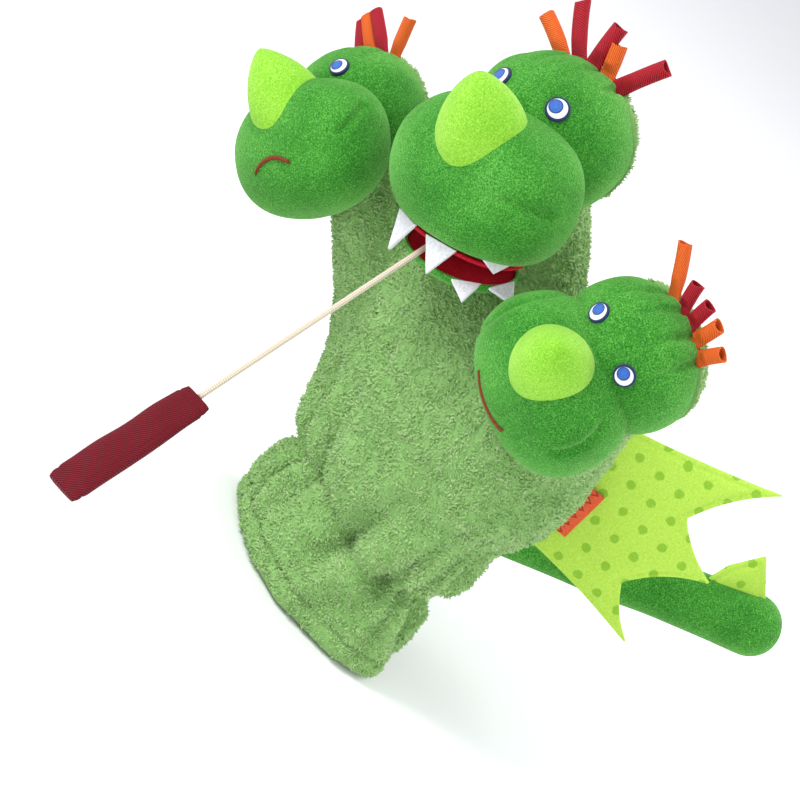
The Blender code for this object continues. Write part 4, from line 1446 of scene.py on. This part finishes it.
def makeTail():
    turn, rise = math.radians(tail["turn"]), math.radians(tail["rise"])
    direction = Vector((math.cos(rise) * math.sin(turn), math.cos(rise) * math.cos(turn), math.sin(rise)))
    place = lookAlong(joints["tail_wag"]["pos_m"], direction)
    length, low, high = tail["length"], tail["root"], tail["end"]

    def shape(angle, share):
        polar, straight, upper = capsule(share, tail["caps"])
        radius = (low + (high - low) * straight ** 0.8) * np.cos(polar) * np.cos(upper) ** 0.9
        height = length * straight - low * np.sin(polar) + high * np.sin(upper)
        return np.stack([radius * np.cos(angle), radius * np.sin(angle), height], axis=1)

    obj = rolledForm("velourTail", 80, 160, shape)
    up = place.to_3x3().inverted() @ Vector((0, 0, 1))
    spin = math.atan2(up.y, up.x)
    for side in (0.5, -0.5):
        seam = [
            (high * math.cos(spin + side * math.pi), high * math.sin(spin + side * math.pi), length * i / 12)
            for i in range(13)
        ]
        groove(obj, seam, 0.0011, 0.0006)
    swell(obj, 140, 0.0006, 61)
    obj.data.transform(place)
    smoothed(obj)
    dress(obj, "velour")
    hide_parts("tail")
    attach(obj, "tail")
    return place @ Matrix.Rotation(spin, 4, "Z")


def makeFin(place):
    # a small dotted triangle, sewn along the tail's upper seam near its end
    high, length, height = tail["end"], fin["length"], fin["height"]
    foot = 0.4 * high
    start = tail["length"] - length * 0.85
    outline = (
        (foot, start), (high + height * 0.45, start + length * 0.26),
        (high + height, start + length * 0.62), (foot, start + length),
    )
    obj = paddedSheet("tailFin", outline, fin["thick"])
    obj.data.transform(place)
    dress(obj, "dotted")
    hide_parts("tail_fin")
    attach(obj, "tail")


wing = {
    "sweep": 40, "thick": 0.0036, "droop": {"left": 0.009, "right": 0.0},
    "tips": ((0.066, 0.160), (0.071, 0.113), (0.066, 0.071)),
    "valleys": ((0.046, 0.126), (0.046, 0.089)),
    "top": (0.0, 0.136), "foot": (0.0, 0.075),
}
label = {"size": (0.009, 0.023), "place": (0.013, 0.0985), "thickness": 0.0007, "gap": 0.0010}


def scallop(start, end, sag):
    # a hollow curve from one point to the next, leaving the last point out
    a, b = Vector(start), Vector(end)
    aside = Vector((a.y - b.y, b.x - a.x)).normalized()
    middle = (a + b) / 2 + aside * sag
    steps = 10
    shares = [i / steps for i in range(steps)]
    return [tuple(a * (1 - t) ** 2 + middle * 2 * t * (1 - t) + b * t ** 2) for t in shares]


def wingOutline():
    first, second, third = wing["tips"]
    upper, lower = wing["valleys"]
    return (
        scallop(wing["top"], first, -0.003)
        + scallop(first, upper, -0.005) + scallop(upper, second, -0.004)
        + scallop(second, lower, -0.005) + scallop(lower, third, -0.004)
        + scallop(third, wing["foot"], -0.003) + [wing["foot"]]
    )


wingMiddle = (wing["top"][1] + wing["foot"][1]) / 2


def wingPlace(side):
    # from a wing's own plane, with its root at X = 0, to its seam on the glove
    hinge = Vector(joints[side + "_wing_flap"]["pos_m"])
    sweep = math.radians(wing["sweep"])
    return Matrix.Translation(hinge) @ Matrix.Rotation(sweep if side == "right" else math.pi - sweep, 4, "Z")


def makeWing(side):
    outline = [(x, z - wingMiddle) for x, z in wingOutline()]
    sheet = paddedSheet(side + "Wing", outline, wing["thick"])
    points = readPoints(sheet)
    # the upper tip droops under its own weight
    upper = np.clip((points[:, 2] - 0.012) / 0.02, 0, 1)
    points[:, 2] -= wing["droop"][side] * upper * np.clip((points[:, 0] - 0.03) / 0.036, 0, 1) ** 1.5
    writePoints(sheet, points)
    sheet.data.transform(wingPlace(side))
    dress(sheet, "dotted")
    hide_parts(side + "_wing")
    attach(sheet, side + "_wing")


def makeLabel():
    # sewn to the front of the right wing, beside its root, and slightly curled
    width, height = label["size"]
    across, level = label["place"]
    deselectAll()
    bpy.ops.mesh.primitive_grid_add(x_subdivisions=12, y_subdivisions=28, size=1)
    obj = bpy.context.object
    obj.name = obj.data.name = "sideLabel"
    grid = readPoints(obj)
    x, z = grid[:, 0] * width, grid[:, 1] * height
    curlOut = 0.0004 * np.cos(grid[:, 0] * 5) + 0.0003 * np.sin(grid[:, 1] * 6)
    out = -wing["thick"] / 2 - label["gap"] - curlOut
    writePoints(obj, np.stack([across + x, out, level - wingMiddle + z], axis=1))
    chartOf(obj, "ribbon", np.stack([x * 1000, z * 1000], axis=1))
    modify(obj, "SOLIDIFY", thickness=label["thickness"], offset=0)
    modify(obj, "BEVEL", width=0.0002, segments=2, limit_method="ANGLE", angle_limit=math.radians(60))
    editAll(obj, faceOut)
    obj.data.transform(wingPlace("right"))
    smoothed(obj)
    dress(obj, "label")
    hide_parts("side_label")
    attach(obj, "right_wing")


makeFin(makeTail())
makeWing("left")
makeWing("right")
makeLabel()
print("tail and wings made")


# Studio

studio = {
    "floor": 30, "world": 0.82, "aim": (-0.02, -0.02, 0.12),
    "lamps": {  # place, size and power
        "keyLight": ((-0.55, -1.05, 1.15), 0.7, 21),
        "fillLight": ((1.25, -0.75, 0.55), 0.9, 7),
        "rimLight": ((0.35, 1.05, 0.95), 0.6, 11),
    },
}


def makeStudio():
    deselectAll()
    bpy.ops.mesh.primitive_plane_add(size=studio["floor"], location=(0, 0, -0.0005))
    floor = bpy.context.object
    floor.name = "studioFloor"
    paint = Paint("paleFloor")
    floor.data.materials.append(paint.finish(flat(244, 244, 246), 0.9))
    world = bpy.data.worlds.new("studioWorld")
    world.use_nodes = True
    sky = world.node_tree.nodes["Background"].inputs
    sky["Color"].default_value = flat(245, 247, 250)
    sky["Strength"].default_value = studio["world"]
    bpy.context.scene.world = world
    bpy.context.scene.view_settings.view_transform = "Standard"
    for name, (spot, size, power) in studio["lamps"].items():
        data = bpy.data.lights.new(name, "AREA")
        data.energy = power
        data.size = size
        lamp = bpy.data.objects.new(name, data)
        bpy.context.scene.collection.objects.link(lamp)
        towards = (Vector(studio["aim"]) - Vector(spot)).to_track_quat("-Z", "Y")
        lamp.matrix_world = Matrix.Translation(spot) @ towards.to_matrix().to_4x4()


makeStudio()
print("studio lit")
